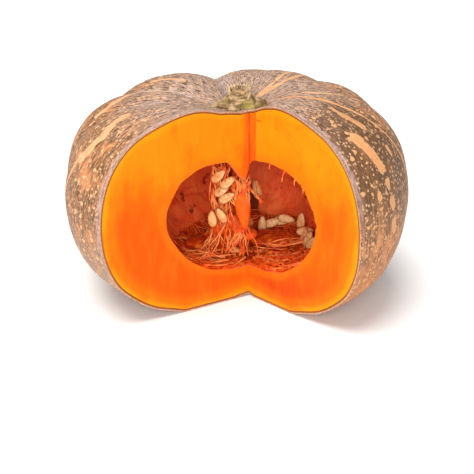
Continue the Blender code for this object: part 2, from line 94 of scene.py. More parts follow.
# The squash isn't quite round: shares of its radius and height
SWELL_BACK, SWELL_LEFT, SWELL_OVAL, SWELL_SKEW = 0.028, 0.019, -0.007, -0.024
RISE_RIGHT, RISE_FRONT = 0.047, 0.056
RISE_FULL_AT = 45 * MM
HIP, HIP_DIRECTION = 0.055, -60.0

# Two upright knife cuts meet on an upright line just in front of the stem, and leave it in these directions
CUT_LINE = Vector((8.3, -15.1)) * MM
CUT_LEFT_DIRECTION = 211.0
CUT_RIGHT_DIRECTION = -45.3

# Outline of the seed hollow from its floor to its roof, as (radius, height) round its own centre
HOLLOW_OUTLINE = (
    (0, 25), (22, 25.5), (38, 28), (52, 34.5), (64, 44.5), (73, 56.5), (78.5, 70), (78.5, 83), (73.5, 95.5),
    (64, 106.5), (50, 113), (36, 114.5), (22, 113), (10, 111), (0, 110.5),
)
HOLLOW_CENTRE = Vector((9, 0)) * MM
HOLLOW_RIPPLE = 1.0 * MM

# A soft swelling low on the right wall of the hollow: direction, share of the outline, reach of both, height
SWELLING_DIRECTION, SWELLING_SHARE = 48, 0.43
SWELLING_REACH = (26, 0.07)
SWELLING_HEIGHT = 6 * MM

# Flesh hangs from the roof of the hollow as a tongue, just left of the cut line
TONGUE_PLACE = Vector((5, -14.5)) * MM
TONGUE_LEFT, TONGUE_RIGHT, TONGUE_BACK = 11 * MM, 3 * MM, 10 * MM
TONGUE_DROP = 17 * MM
ROOF_SHARES = (0.70, 0.80)

# How bright a white card looks in this studio, in shares of the screen's white
STUDIO_LIGHT = 1.15

# Each surface that the cuts open has this many rows, and this share of them at each end are whole rings
SKIN_ROWS, FLESH_ROWS = 200, 160
CAP_SHARE = 0.05

# How finely everything is divided besides: the columns of those surfaces, then the smaller shapes
SKIN_COLUMNS, LINING_COLUMNS, FLESH_COLUMNS, WALL_COLUMNS, FACE_COLUMNS = 360, 60, 80, 300, 28
STEM_COLUMNS, STEM_ROWS = 150, 70
BED_COLUMNS, BED_ROWS = 60, 14
TREE_COLUMNS, TREE_ROWS = 60, 40
SEED_COLUMNS, SEED_ROWS = 30, 16
BALL_DETAIL = 4

# Corners closer than this are joined, and edges sharper than this many degrees stay sharp
WELD = 0.01 * MM
CREASE = 40

# A distance within the flesh from which the skin or the hollow no longer tints it
FAR = 40 * MM

# Pale streaks on the skin, as half width and the (direction, share of the outline) that they pass through
STREAKS = (
    (2.8, ((196, 0.75), (200, 0.71))),
    (3.8, ((200, 0.71), (202, 0.68), (200.5, 0.64), (198.5, 0.62))),
    (1.4, ((198, 0.62), (194, 0.57), (189, 0.52))),
    (1.5, ((163, 0.93), (152, 0.86), (147, 0.80), (148, 0.74))),
    (2.2, ((158, 0.75), (166, 0.735), (172, 0.70), (173.5, 0.675))),
    (1.3, ((52, 0.93), (53, 0.865), (60, 0.775), (64, 0.70))),
    (1.6, ((48, 0.92), (47.5, 0.85), (55, 0.73), (58, 0.66))),
    (1.3, ((-9, 0.875), (-5, 0.82), (1, 0.775), (12, 0.70), (20, 0.65))),
    (2.2, ((-25, 0.78), (-26, 0.755))),
    (3.6, ((-26, 0.755), (-25.5, 0.725), (-25, 0.705))),
    (4.2, ((-35, 0.695), (-33.5, 0.665), (-32, 0.635), (-31.5, 0.62))),
    (3.0, ((-31, 0.588), (-31, 0.582))),
    (3.6, ((-30, 0.550), (-29.5, 0.538))),
    (3.8, ((-29.5, 0.502), (-29, 0.488))),
    (2.4, ((-37, 0.575), (-37, 0.570))),
    (2.6, ((-20, 0.640), (-19.5, 0.628))),
    (1.0, ((-12, 0.945), (-17, 0.86), (-15, 0.76), (-14, 0.68), (-9, 0.58), (-8, 0.50))),
    (1.8, ((132, 0.83), (134, 0.78), (137, 0.74))),
)

# The stem, as (radius, height above its foot), from below the skin over the rim into the hollow on its top
STEM_OUTLINE = (
    (0, -5), (17, -5), (15.5, 1.5), (11.5, 5), (9, 9), (8.6, 12), (8.7, 14), (8.2, 14.5), (7.2, 14.2),
    (5.6, 10), (3, 9), (0, 9),
)
STEM_FRONT_DROP = 6.5 * MM
STEM_FOOT = Vector((1, 0, 148)) * MM
STEM_ARMS = 5
STEM_ARM_DIRECTION = 180.0

# A small knob on the skin, to the right of the stem: place and half sizes
KNOB_PLACE = Vector((16.3, -11.5)) * MM
KNOB_SIZE = (4.7 * MM, 4.2 * MM, 5.4 * MM)

# The column of pulp that hangs from the roof: height, centre, half width and half depth
COLUMN = (
    (103, -4, 2, 13, 14), (86, -6, 3, 13, 15), (66, -5, 3, 13, 14), (46, -6, 4, 16, 17), (30, -8, 6, 23, 22),
)
COLUMN_STRANDS = 44

# Lumps of soft tissue in the column: middle and half sizes
LUMPS = (
    ((-15, 0, 88), (7, 6, 13)), ((-6, 3, 74), (12, 8, 20)), ((3, -5, 87), (7, 6, 9)),
    ((-7, 3, 47), (15, 12, 14)), ((9.5, -8, 48), (5, 4.5, 4.5)), ((-15, -5, 52), (6, 6, 9)),
    ((1, -6, 56), (8, 6, 9)), ((-28, 6, 35), (13, 10, 4)), ((26, 18, 34), (20, 14, 4)),
)

# The smooth flap in front of the column narrows downwards and leans to the right
FLAP_CENTRE, FLAP_SIZE = Vector((2.5, -12.5, 69)) * MM, Vector((7.5, 3.0, 15.0)) * MM
FLAP_FOOT_WIDTH = 0.4
FLAP_LEAN = 3.0 * MM

# The nets on the floor of the hollow, of strands and of fine threads: how many spokes and rings, how thick
# they are and how far they stand off the floor
BED_SHARE = 0.30
BED_HALF_THICKNESS = 1.5 * MM
STRAND_THICKNESS = 1.1 * MM
STRAND_NET = (34, 6, STRAND_THICKNESS, 4 * MM)
THREAD_NET = (70, 12, 0.65 * MM, 3 * MM)
PULP_VOXEL = 0.9 * MM

# How far the pulp and its loose threads stay behind the cuts
PULP_CLEAR, THREADS_CLEAR = 0.6 * MM, 0.7 * MM

# Fans of fine threads: how many, thickness, middle and half size of the box where they start, the same for
# where they end, and how far they sag
THREAD_FANS = (
    (34, 0.45, (3, -12, 95), (7, 3, 3), (2, -12, 78), (7, 3, 8), 1),
    (20, 0.40, (-3, -11, 84), (9, 3, 6), (5, -12, 72), (5, 2, 8), 0),
    (6, 0.45, (-19.8, -9, 85), (1, 1, 2), (-18.2, -9, 69), (1, 1, 2), 0),
    (4, 0.60, (9, -9, 85), (1.5, 1, 1.5), (18.2, -8, 73.8), (1, 1, 1), -1),
    (24, 0.40, (-14, -7, 104), (8, 5, 3), (-14, -9, 84), (7, 3, 8), 0),
    (26, 0.40, (-13, -8, 78), (8, 3, 6), (-10, -9, 60), (8, 3, 6), 0),
    (18, 0.45, (5, -11, 58), (3, 2, 4), (2, -10, 36), (14, 6, 4), 0),
    (26, 0.40, (-12, -8, 56), (8, 4, 6), (-16, -10, 33), (16, 8, 3), 1),
    (16, 0.55, (-38, -16, 36), (14, 12, 3), (-14, -10, 33), (12, 10, 3), 1),
    (18, 0.45, (22, 10, 34), (12, 14, 3), (46, 4, 38), (12, 12, 4), 2),
)

# Threads that stay on the rim of the hollow at the right cut: (way out along the cut, height) of both ends
RIM_THREADS = (
    ((21.6, 113.8), (20.5, 109.6)), ((36.2, 113.0), (33.1, 103.2)), ((46.9, 109.6), (45.8, 103.6)),
    ((56.1, 105.4), (54.4, 100.3)),
)

# Each bunch of seeds is one or two rows: how many, middle of the first and last one, the ways that the points
# of the first and last one aim, and the way that they all face
SEED_LENGTH, SEED_WIDTH, SEED_THICKNESS = 14.5 * MM, 7.0 * MM, 3.0 * MM
SEED_BUNCHES = {
    "seeds_hanging": (
        (2, (-14.5, -10, 96.5), (-12, -9.5, 85), (0.7, 0, 0.7), (0.9, 0, 0.45), (-0.3, -0.9, 0.3)),
        (2, (-7.5, -11, 92), (-8.5, -11, 79.5), (0.8, 0, 0.6), (0.8, 0, 0.6), (-0.2, -0.9, 0.3)),
    ),
    "seeds_tassel": (
        (2, (-19.5, -11, 62.5), (-12.5, -12, 65.5), (0, 0, 1), (-0.6, 0, 0.8), (-0.2, -1, 0.1)),
    ),
    "seeds_under_tongue": (
        (2, (12.5, -6, 85), (15, -1, 83), (-0.2, 0.1, 1), (-0.3, 0.1, 1), (1, -0.3, 0)),
    ),
    "seeds_left_floor": (
        (3, (-15, 14, 37), (-4, -5, 34), (0.9, 0.3, 0.4), (0.9, -0.5, 0.1), (-0.1, -0.6, 0.8)),
    ),
    "seeds_right_floor": (
        (2, (19, 32, 39), (27, 35, 39), (0, 0.2, 1), (0.8, 0.1, 0.4), (0.2, -0.9, 0.4)),
        (2, (34, 36, 40), (38, 33, 43), (1, 0.1, 0.1), (1, -0.2, -0.1), (0.1, -0.9, 0.4)),
    ),
    "seeds_right_heap": (
        (2, (49, 20, 47), (52, 14, 41), (0.1, 0.1, 1), (1, 0, 0.1), (-0.4, -0.8, 0.4)),
        (3, (52, 12, 36), (58, 0, 36), (0.2, 0.1, 1), (0.7, -0.2, 0.6), (-0.4, -0.8, 0.4)),
    ),
    "seeds_back": (
        (5, (-12, 40, 37), (8, 46, 37), (0.3, 0.6, 0.5), (-0.2, 0.7, 0.5), (0.2, -0.6, 0.7)),
    ),
}
SEED_TWIST = 12.0
WALL_TRIES = 6

# The camera of the photograph, about 23 degrees above the table
CAMERA_PLACE, CAMERA_AIM = Vector((1.6, -1172.3, 558.4)) * MM, Vector((0.8, -31.2, 47.2)) * MM
CAMERA_LENS = 125.2

# The white studio: its sky, a soft key light from the upper left, a front light and the table
SKY_STRENGTH = 0.38
KEY_PLACE, KEY_POWER, KEY_ANGLE = (-0.4, -0.3, 1.9), 3.1, 45
FRONT_PLACE, FRONT_POWER, FRONT_SIZE = (-0.05, -1.5, 0.56), 15.5, 0.8
LIGHT_AIM = (0, 0, 0.08)
TABLE_SIZE = 20
TABLE_WHITES = (0.96, 0.96, 0.96, 1), (0.94, 0.94, 0.94, 1)


class Outline:
    """A smooth curve through (radius, height) points. Its argument runs from 0 to 1 with the length."""

    def __init__(self, points):
        self.points = [Vector(point) * MM for point in points]
        reach = [0.0]
        for a, b in zip(self.points, self.points[1:]):
            reach.append(reach[-1] + (b - a).length)
        self.length = reach[-1]
        self.at = [value / reach[-1] for value in reach]
        last = len(self.points) - 1
        self.slopes = []
        for k in range(last + 1):
            before, after = max(k - 1, 0), min(k + 1, last)
            rise = self.points[after] - self.points[before]
            self.slopes.append(rise / (self.at[after] - self.at[before]))
        self.slopes[0].y = 0
        self.slopes[-1].y = 0

    def __call__(self, share):
        share = min(max(share, 0.0), 1.0)
        k = max(j for j in range(len(self.at) - 1) if self.at[j] <= share)
        span = self.at[k + 1] - self.at[k]
        t = (share - self.at[k]) / span
        a, b = self.points[k], self.points[k + 1]
        line = (2 * t**3 - 3 * t**2 + 1) * a + (3 * t**2 - 2 * t**3) * b
        bend = (t**3 - 2 * t**2 + t) * self.slopes[k] + (t**3 - t**2) * self.slopes[k + 1]
        return line + span * bend

    def inward(self, share):
        """The unit vector that points from the outline to its inside."""
        step = 0.002
        along = (self(share + step) - self(share - step)).normalized()
        return Vector((-along.y, along.x))


skin_outline = Outline(SKIN_OUTLINE)
hollow_outline = Outline(HOLLOW_OUTLINE)


def ramp(value, low, high):
    return min(max((value - low) / (high - low), 0.0), 1.0)


def smooth(value, low, high):
    t = ramp(value, low, high)
    return t * t * (3 - 2 * t)


def heading(azimuth):
    """The flat unit vector in this direction."""
    turn = math.radians(azimuth)
    return Vector((math.cos(turn), math.sin(turn)))


def ridges(point):
    """Noise with sharp crests, about 0 on average."""
    return noise.ridged_multi_fractal(point, 1.0, 2.1, 3, 1.0, 1.6) - 1.2


def furrow_depth(azimuth):
    """How deep the furrows are in this direction: 0 on a rib, about 1 in a furrow."""
    depth = 0.0
    for direction, share in FURROWS:
        away = abs((azimuth - direction + 180) % 360 - 180) / FURROW_HALF_WIDTH
        depth += share * math.exp(-(away**FURROW_ROUNDNESS))
    return depth


def skin_relief(azimuth, share):
    """Lumps all over the skin, and fine ribs that run out from the stem."""
    outward = heading(azimuth).to_3d()
    lumps = noise.noise(outward * 5 + Vector((0, 0, share * 14)))
    knots = noise.noise(outward * 19 + Vector((4, 0, share * 30)))
    ribs = noise.noise(outward * 26 + Vector((0, 7, share * 5)))
    near_stem = smooth(share, 0.62, 0.92)
    return (0.55 * lumps + 0.16 * knots + (0.15 + 0.5 * near_stem) * ribs) * MM


def skin_point(azimuth, share, inset=0.0):
    """A point of the skin, or of a surface that lies inset below it."""
    flat = skin_outline(share) + inset * skin_outline.inward(share)
    radius, height = max(flat.x, 0.0), flat.y - WAIST_HEIGHT
    lean = math.atan2(height, radius)
    upper = max(math.sin(lean), 0.0)
    fade = min(FURROW_FADE_AT_ENDS * math.cos(lean), ramp(radius, FURROW_STARTS_AT, FURROW_FULL_AT))
    dent = furrow_depth(azimuth) * fade
    dent *= FURROW_DEPTH_AT_WAIST + FURROW_DEPTH_EXTRA_ON_TOP * upper**1.5
    turn = math.radians(azimuth)
    swell = 1 - SWELL_LEFT * math.cos(turn) + SWELL_BACK * math.sin(turn)
    swell += SWELL_OVAL * math.cos(2 * turn) + SWELL_SKEW * math.sin(2 * turn)
    rise = RISE_RIGHT * math.cos(turn) - RISE_FRONT * math.sin(turn)
    rise *= upper * ramp(radius, 0, RISE_FULL_AT)
    lower = ramp(-math.sin(lean), 0, 0.7)
    swell += HIP * lower * max(math.cos(turn - math.radians(HIP_DIRECTION)), 0.0) ** 4
    radius *= swell * (1 - dent)
    height *= (1 + rise) * (1 - FURROW_LOWERS_SKIN * dent)
    return Vector((
        radius * math.cos(turn),
        radius * math.sin(turn),
        max(WAIST_HEIGHT + height, max(inset, 0.0)),
    ))


def rough_skin_point(azimuth, share):
    amount = smooth(gap_from_cuts(skin_point(azimuth, share)), 0, RELIEF_FULL_AT)
    return skin_point(azimuth, share, -skin_relief(azimuth, share) * amount)


def tongue_drop(x, y):
    """How far the tongue hangs below the roof of the hollow at a place."""
    across = x - TONGUE_PLACE.x
    across /= TONGUE_LEFT if across < 0 else TONGUE_RIGHT
    back = (y - TONGUE_PLACE.y) / TONGUE_BACK
    return TONGUE_DROP * math.exp(-(across**2) - back**2)


def hollow_point(azimuth, share, inset=0.0):
    """A point of the wall of the seed hollow, or of a surface inset towards the middle of the hollow."""
    flat = hollow_outline(share) + inset * hollow_outline.inward(share)
    turn = math.radians(azimuth)
    ripple = math.sin(7 * turn) + 0.5 * math.sin(12 * turn + 40 * flat.y)
    radius = max(flat.x + HOLLOW_RIPPLE * ramp(flat.x, 20 * MM, 60 * MM) * ripple, 0.0)
    x = HOLLOW_CENTRE.x + radius * math.cos(turn)
    y = HOLLOW_CENTRE.y + radius * math.sin(turn)
    return Vector((x, y, flat.y - tongue_drop(x, y) * ramp(share, *ROOF_SHARES)))


def hollow_relief(azimuth, share):
    """Soft lumps and low ridges on the wall of the hollow, and notches in its rim at the right knife cut."""
    outward = heading(azimuth).to_3d()
    sway = 0.25 * noise.noise(outward * 3 + Vector((0, 0, share * 9)))
    lumps = noise.noise(outward * 6 + Vector((2, 0, share * 16)))
    fibres = ridges(outward * 12 + Vector((0, 3, share * 9 + sway)))
    amount = smooth(share, 0.02, 0.12) * (1 - smooth(share, 0.86, 0.97))
    notched = smooth(-azimuth, 28, 42) * smooth(share, 0.48, 0.53) * (1 - smooth(share, 0.66, 0.70))
    notch = max(noise.noise(Vector((azimuth * 0.09, 0, share * 95))), 0.0)
    wide, high = SWELLING_REACH
    away = ((azimuth - SWELLING_DIRECTION) / wide) ** 2 + ((share - SWELLING_SHARE) / high) ** 2
    relief = amount * (1.2 * lumps + 0.25 * fibres) - 3.2 * notched * notch
    return relief * MM + SWELLING_HEIGHT * math.exp(-away)


def rough_hollow_point(azimuth, share):
    return hollow_point(azimuth, share, hollow_relief(azimuth, share))


class Opened:
    """A surface round an upright axis that the two knife cuts open.

    Its rings inside the circle through the cut line are whole. The others run from the right knife cut, round
    the back, to the left one.
    """

    def __init__(self, point, centre=Vector((0, 0))):
        self.point = point
        self.centre = centre
        self.start = CUT_LINE - centre
        self.seam = math.degrees(math.atan2(self.start.y, self.start.x))
        self.low = self.share_at_cut_line(0.0, 0.4)
        self.high = self.share_at_cut_line(1.0, 0.6)

    def reach(self, azimuth, share):
        point = self.point(azimuth, share)
        return math.hypot(point.x - self.centre.x, point.y - self.centre.y)

    def share_at_cut_line(self, inside, outside):
        """The share of the outline whose ring passes through the cut line."""
        for _ in range(40):
            middle = (inside + outside) / 2
            if self.reach(self.seam, middle) > self.start.length:
                outside = middle
            else:
                inside = middle
        return (inside + outside) / 2

    def cut_azimuth(self, share, direction):
        """The azimuth at which a ring meets the knife cut that runs in this direction."""
        along = heading(direction)
        azimuth = direction
        for _ in range(16):
            radius = self.reach(azimuth, share)
            across = self.start.dot(along) ** 2 - self.start.length_squared + radius**2
            meet = self.start + along * (math.sqrt(max(across, 0.0)) - self.start.dot(along))
            azimuth = math.degrees(math.atan2(meet.y, meet.x))
        return azimuth

    def share(self, along):
        """The share of the outline for a share of the rows."""
        if along < CAP_SHARE:
            return self.low * along / CAP_SHARE
        if along > 1 - CAP_SHARE:
            return 1 - (1 - self.high) * (1 - along) / CAP_SHARE
        return self.low + (self.high - self.low) * (along - CAP_SHARE) / (1 - 2 * CAP_SHARE)

    @functools.cache
    def ends(self, along):
        """The azimuths at which a row starts and ends."""
        if not CAP_SHARE + 1e-6 < along < 1 - CAP_SHARE - 1e-6:
            return self.seam, self.seam + 360
        share = self.share(along)
        begin = self.cut_azimuth(share, CUT_RIGHT_DIRECTION)
        return begin, self.cut_azimuth(share, CUT_LEFT_DIRECTION) % 360

    def spot(self, across, along):
        """The (azimuth, share of the outline) of a corner of the sheet."""
        begin, end = self.ends(along)
        return begin + (end - begin) * across, self.share(along)

    def place(self, corner, across, along):
        """The point of a corner of the sheet, and its place in the pattern."""
        azimuth, share = self.spot(across, along)
        return self.point(azimuth, share), (azimuth / 360, share)

    def end_point(self, side, along):
        """Where a row ends on the right (0) or left (1) knife cut."""
        return self.point(*self.spot(side, along))


def add_sheet(bm, columns, rows, place, between=(0.0, 1.0), material=0):
    """Adds a grid whose corners lie where place says, for shares across and along."""
    pattern = bm.loops.layers.uv.verify()
    made = bmesh.ops.create_grid(bm, x_segments=columns, y_segments=rows, size=0.5)["verts"]
    low, high = between
    spots = {}
    for corner in made:
        across = round((corner.co.x + 0.5) * columns) / columns
        along = round(low + (high - low) * (corner.co.y + 0.5), 9)
        corner.co, spots[corner] = place(corner, across, along)
    for face in {face for corner in made for face in corner.link_faces}:
        face.material_index = material
        for loop in face.loops:
            loop[pattern].uv = spots[loop.vert]


def linked(name, data):
    """A new object of the scene with this data."""
    obj = bpy.data.objects.new(name, data)
    bpy.context.scene.collection.objects.link(obj)
    return obj


def finish_mesh(bm, name, finishes, replaced, sharp=None):
    """Makes the bmesh a piece of the scene that stands for the named solids of the model."""
    mesh = bpy.data.meshes.new(name)
    bmesh.ops.translate(bm, verts=bm.verts, vec=STEM_AXIS)
    bm.to_mesh(mesh)
    bm.free()
    mesh.shade_smooth()
    if sharp is not None:
        mesh.set_sharp_from_angle(angle=math.radians(sharp))
    for finish in finishes:
        mesh.materials.append(finish)
    piece = linked(name, mesh)
    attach(piece, "root")
    if replaced:
        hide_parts(*replaced)


def close_mesh(bm):
    bmesh.ops.remove_doubles(bm, verts=bm.verts, dist=WELD)
    bmesh.ops.recalc_face_normals(bm, faces=bm.faces)


class Value:
    """What a material works out at each spot: a number, a place or a colour."""

    def __init__(self, finish, socket):
        self.finish = finish
        self.socket = socket

    def math(self, operation, a, b=0.0):
        return self.finish.add("ShaderNodeMath", {0: a, 1: b}, operation=operation)

    def __add__(self, other):
        return self.math("ADD", self, other)

    def __sub__(self, other):
        return self.math("SUBTRACT", self, other)

    def __rsub__(self, other):
        return self.math("SUBTRACT", other, self)

    def __mul__(self, other):
        return self.math("MULTIPLY", self, other)

    def off(self, middle):
        """How far this value lies from the middle, either way."""
        return self.math("ABSOLUTE", self - middle)

    def step(self, low, high, start=0.0, end=1.0):
        """Goes smoothly from start to end as this value goes from low to high."""
        inputs = {"Value": self, "From Min": low, "From Max": high, "To Min": start, "To Max": end}
        return self.finish.add("ShaderNodeMapRange", inputs, "Result", interpolation_type="SMOOTHSTEP")

    def part(self, name):
        """One of the parts X, Y and Z."""
        return self.finish.add("ShaderNodeSeparateXYZ", {0: self}, name)

    def over(self, mask, paint):
        """This colour, with another one laid over it where the mask is 1."""
        return self.finish.mix(mask, self, paint)


class Finish:
    """Builds a material out of values."""

    def __init__(self, name, roughness=0.5, specular=0.5):
        self.material = bpy.data.materials.new(name)
        self.material.use_nodes = True
        self.nodes = self.material.node_tree.nodes
        self.shader = self.nodes["Principled BSDF"]
        self.plug(self.shader, {"Roughness": roughness, "Specular IOR Level": specular})

    def plug(self, node, inputs):
        for name, value in inputs.items():
            if isinstance(value, Value):
                self.material.node_tree.links.new(value.socket, node.inputs[name])
            else:
                node.inputs[name].default_value = value

    def add(self, kind, inputs, output=0, **settings):
        """Adds a node, and returns one of its outputs."""
        node = self.nodes.new(kind)
        for name, value in settings.items():
            setattr(node, name, value)
        self.plug(node, inputs)
        return Value(self, node.outputs[output])

    def attribute(self, name):
        return self.add("ShaderNodeAttribute", {}, "Fac", attribute_name=name)

    def place(self, *scale):
        """Metres times three numbers, or the pattern's direction and share of the outline times two."""
        start = self.add("ShaderNodeTexCoord", {}, "Object" if len(scale) == 3 else "UV")
        return self.add("ShaderNodeMapping", {"Vector": start, "Scale": (*scale, 1)[:3]}, "Vector")

    def noise(self, scale, detail=2.0, roughness=0.5, distortion=0.0):
        inputs = {"Vector": self.place(*scale), "Scale": 1.0, "Detail": detail, "Roughness": roughness}
        inputs["Distortion"] = distortion
        return self.add("ShaderNodeTexNoise", inputs, "Fac")

    def cells(self, scale, size, amount):
        """How far off the nearest cell's middle is, and that cell's colour. Noise pushes the cells about."""
        place = self.place(*scale)
        push = self.add("ShaderNodeTexNoise", {"Vector": place, "Scale": size, "Detail": 2.0}, "Color")
        warp = {0: push, 1: (amount, amount, amount), 2: place}
        place = self.add("ShaderNodeVectorMath", warp, operation="MULTIPLY_ADD")
        distance = self.add("ShaderNodeTexVoronoi", {"Vector": place, "Scale": 1.0}, "Distance")
        return distance, Value(self, distance.socket.node.outputs["Color"])

    def mix(self, factor, *paints):
        """The first colour where the factor is 0, the second one where it is 1."""
        a, b = [colour(*paint) if isinstance(paint, tuple) else paint for paint in paints]
        return self.add("ShaderNodeMix", {0: factor, 6: a, 7: b}, 2, data_type="RGBA")

    def done(self, paint, relief, depth, roughness=None):
        """Gives the shader its colour, its relief and, where it varies, its roughness."""
        bump = {"Height": relief, "Distance": depth, "Strength": 1.0}
        self.plug(self.shader, {"Base Color": paint, "Normal": self.add("ShaderNodeBump", bump, "Normal")})
        if roughness is not None:
            self.plug(self.shader, {"Roughness": roughness})
        return self.material


def colour(red, green, blue):
    """The paint that looks like these values, 0 to 255, where the studio lights it fully."""
    shares = [value / 255 for value in (red, green, blue)]
    linear = [share / 12.92 if share <= 0.04045 else ((share + 0.055) / 1.055) ** 2.4 for share in shares]
    return (*[share / STUDIO_LIGHT for share in linear], 1.0)


def skin_finish():
    """Grey-green skin with pale dots that stretch into dashes towards the stem, and broad peach streaks, with
    painted sheen on its top, along the knife cuts and in its furrows.
    """
    finish = Finish("skin", specular=0.25)
    pattern = finish.place(1, 1)
    side, height = pattern.part("X"), pattern.part("Y")
    right = side.step(0.0, -0.05)

    fibre = finish.noise((520, 46), 4.0, 0.7)
    mottle = finish.noise((60, 14), 4.0, 0.6, 0.4)
    line = fibre.step(0.42, 0.58)
    skin = finish.mix(line, (108, 72, 44), (194, 134, 88))
    skin = skin.over(mottle.step(0.50, 0.64) * 0.75, (228, 152, 96))
    skin = skin.over(finish.noise((138, 32.2), 3.0).step(0.54, 0.64) * 0.6, (98, 94, 76))
    # Near the stem: fine dark and pale lilac stripes; the pale lilac is partly the skin's own bloom and
    # partly painted sheen where the top faces the light.
    skin = skin.over(height.step(0.66, 0.86) * 0.75, finish.mix(line, (84, 66, 54), (230, 198, 182)))
    dark = right * (height.step(0.48, 0.58) * height.step(0.84, 0.76))
    skin = skin.over(dark * 0.7, (92, 64, 40))
    skin = skin.over(height.step(0.52, 0.36) * 0.55, finish.mix(right, (190, 158, 138), (214, 136, 80)))

    distance, chosen = finish.cells((150, 74), 1.3, 0.5)
    edge = distance - (chosen.part("Y") * 0.26 + 0.12)
    dots = edge.step(0.06, -0.04) * chosen.part("X").step(0.38, 0.43)
    distance, chosen = finish.cells((300, 124), 1.1, 0.5)
    small_dots = distance.step(0.42, 0.24) * chosen.part("X").step(0.30, 0.36)
    skin = skin.over(small_dots * 0.8, (228, 180, 136))
    skin = skin.over(dots, finish.mix(right, (242, 188, 136), (226, 164, 112)))

    streak = finish.attribute("streak") + (fibre * 0.9 + mottle * 0.5 - 0.72)
    peach = finish.mix(line, (230, 166, 112), (244, 192, 144)).over(right * 0.7, (224, 154, 96))
    skin = skin.over(streak.step(0.38, 0.52), peach)

    # A painted highlight: a pale grey-mauve band of sheen along both knife cuts, fainter low down.
    painted_cut_edge_sheen = (finish.attribute("cut_gap") - fibre * 0.006).step(0.0034, -0.0005)
    painted_cut_edge_sheen = painted_cut_edge_sheen * height.step(0.32, 0.46, 0.35, 0.9) * (1.0 - right * height.step(0.62, 0.50, 0.0, 0.8))
    skin = skin.over(painted_cut_edge_sheen * 0.75, finish.mix(line, (168, 132, 118), (216, 184, 174)))
    # A painted highlight: pale lilac sheen along the furrows of the upper skin.
    painted_crease_light_and_shade = finish.attribute("furrow").step(0.80, 1.1) * 0.45
    skin = skin.over(painted_crease_light_and_shade, finish.mix(line, (150, 128, 116), (240, 216, 206)))
    relief = fibre * 0.8 + dots * 0.35 + small_dots * 0.3
    return finish.done(skin, relief, 0.0007, fibre.step(0.3, 0.7, 0.50, 0.66))


def rind_edge_finish():
    """The knife's cut through the rind: a pale line, and a dark one where it meets the flesh."""
    finish = Finish("rind_edge", roughness=0.6, specular=0.2)
    grain = finish.noise((700, 700, 700), 3.0)
    pale = finish.mix(grain.step(0.35, 0.65), (170, 128, 100), (214, 172, 146))
    inner = (finish.place(1, 1).part("X") + grain * 0.4).step(0.62, 0.85)
    return finish.done(pale.over(inner, (150, 88, 38)), grain, 0.0002)


def flesh_finish():
    """Firm wet flesh: yellow under the rind, orange in the middle and amber round the hollow."""
    finish = Finish("flesh", specular=0.06, roughness=0.6)
    here = finish.place(1, 1, 1)
    side, height = here.part("X"), here.part("Z")
    grain = finish.noise((150, 150, 40), 4.0, 0.6)
    cloud = finish.noise((26, 26, 18), 4.0, 0.6, 0.3)

    level = height + cloud * 0.07
    # Each cut face has its own colours from top to bottom; the right one, which faces the light, is a little
    # lighter, and that difference is painted light.
    left = finish.mix(level.step(0.165, 0.115), (254, 134, 8), (252, 88, 4))
    right = finish.mix(level.step(0.175, 0.110), (254, 142, 10), (253, 98, 6))
    right = right.over(level.step(0.090, 0.040), (206, 66, 12))
    flesh = left.over(side.step(0.006, 0.012), right)
    from_rind = finish.attribute("from_rind") - cloud * 0.010
    flesh = flesh.over(from_rind.step(0.012, 0.0) * 0.5, (254, 134, 10))
    flesh = flesh.over(from_rind.step(0.001, -0.004) * 0.9, (253, 150, 14))
    from_hollow = finish.attribute("from_hollow") - cloud * 0.006
    flesh = flesh.over(from_hollow.step(0.005, -0.001) * 0.6, (252, 118, 16))
    flesh = flesh.over(finish.noise((34, 34, 30), 4.0, 0.6, 0.5).step(0.52, 0.66) * 0.35, (252, 84, 6))

    nick = side.step(0.0142, 0.0152) * side.step(0.0188, 0.0176) * height.off(0.1446).step(0.0007, 0.0003)
    flesh = flesh.over(nick * 0.8, (150, 70, 20))
    torn = finish.attribute("torn")
    tears = finish.noise((500, 500, 30), 4.0, 0.7)
    ragged = torn + (cloud - 0.5) * 0.9
    torn_flesh = finish.mix(tears.step(0.36, 0.66), (252, 108, 14), (238, 80, 12))
    flesh = flesh.over(ragged.step(0.15, 0.9) * 0.85, torn_flesh)
    # Painted shade: a dark red line in the inner corner where the two cut faces meet.
    painted_crease_light_and_shade = finish.place(1, 1).part("X").step(0.0011, 0.0003) * torn
    flesh = flesh.over(painted_crease_light_and_shade * 0.7, (196, 50, 10))
    flesh = flesh.over(grain.step(0.4, 0.8) * 0.14, (255, 172, 40))
    return finish.done(flesh, grain + torn * tears * 4.0, 0.00035)


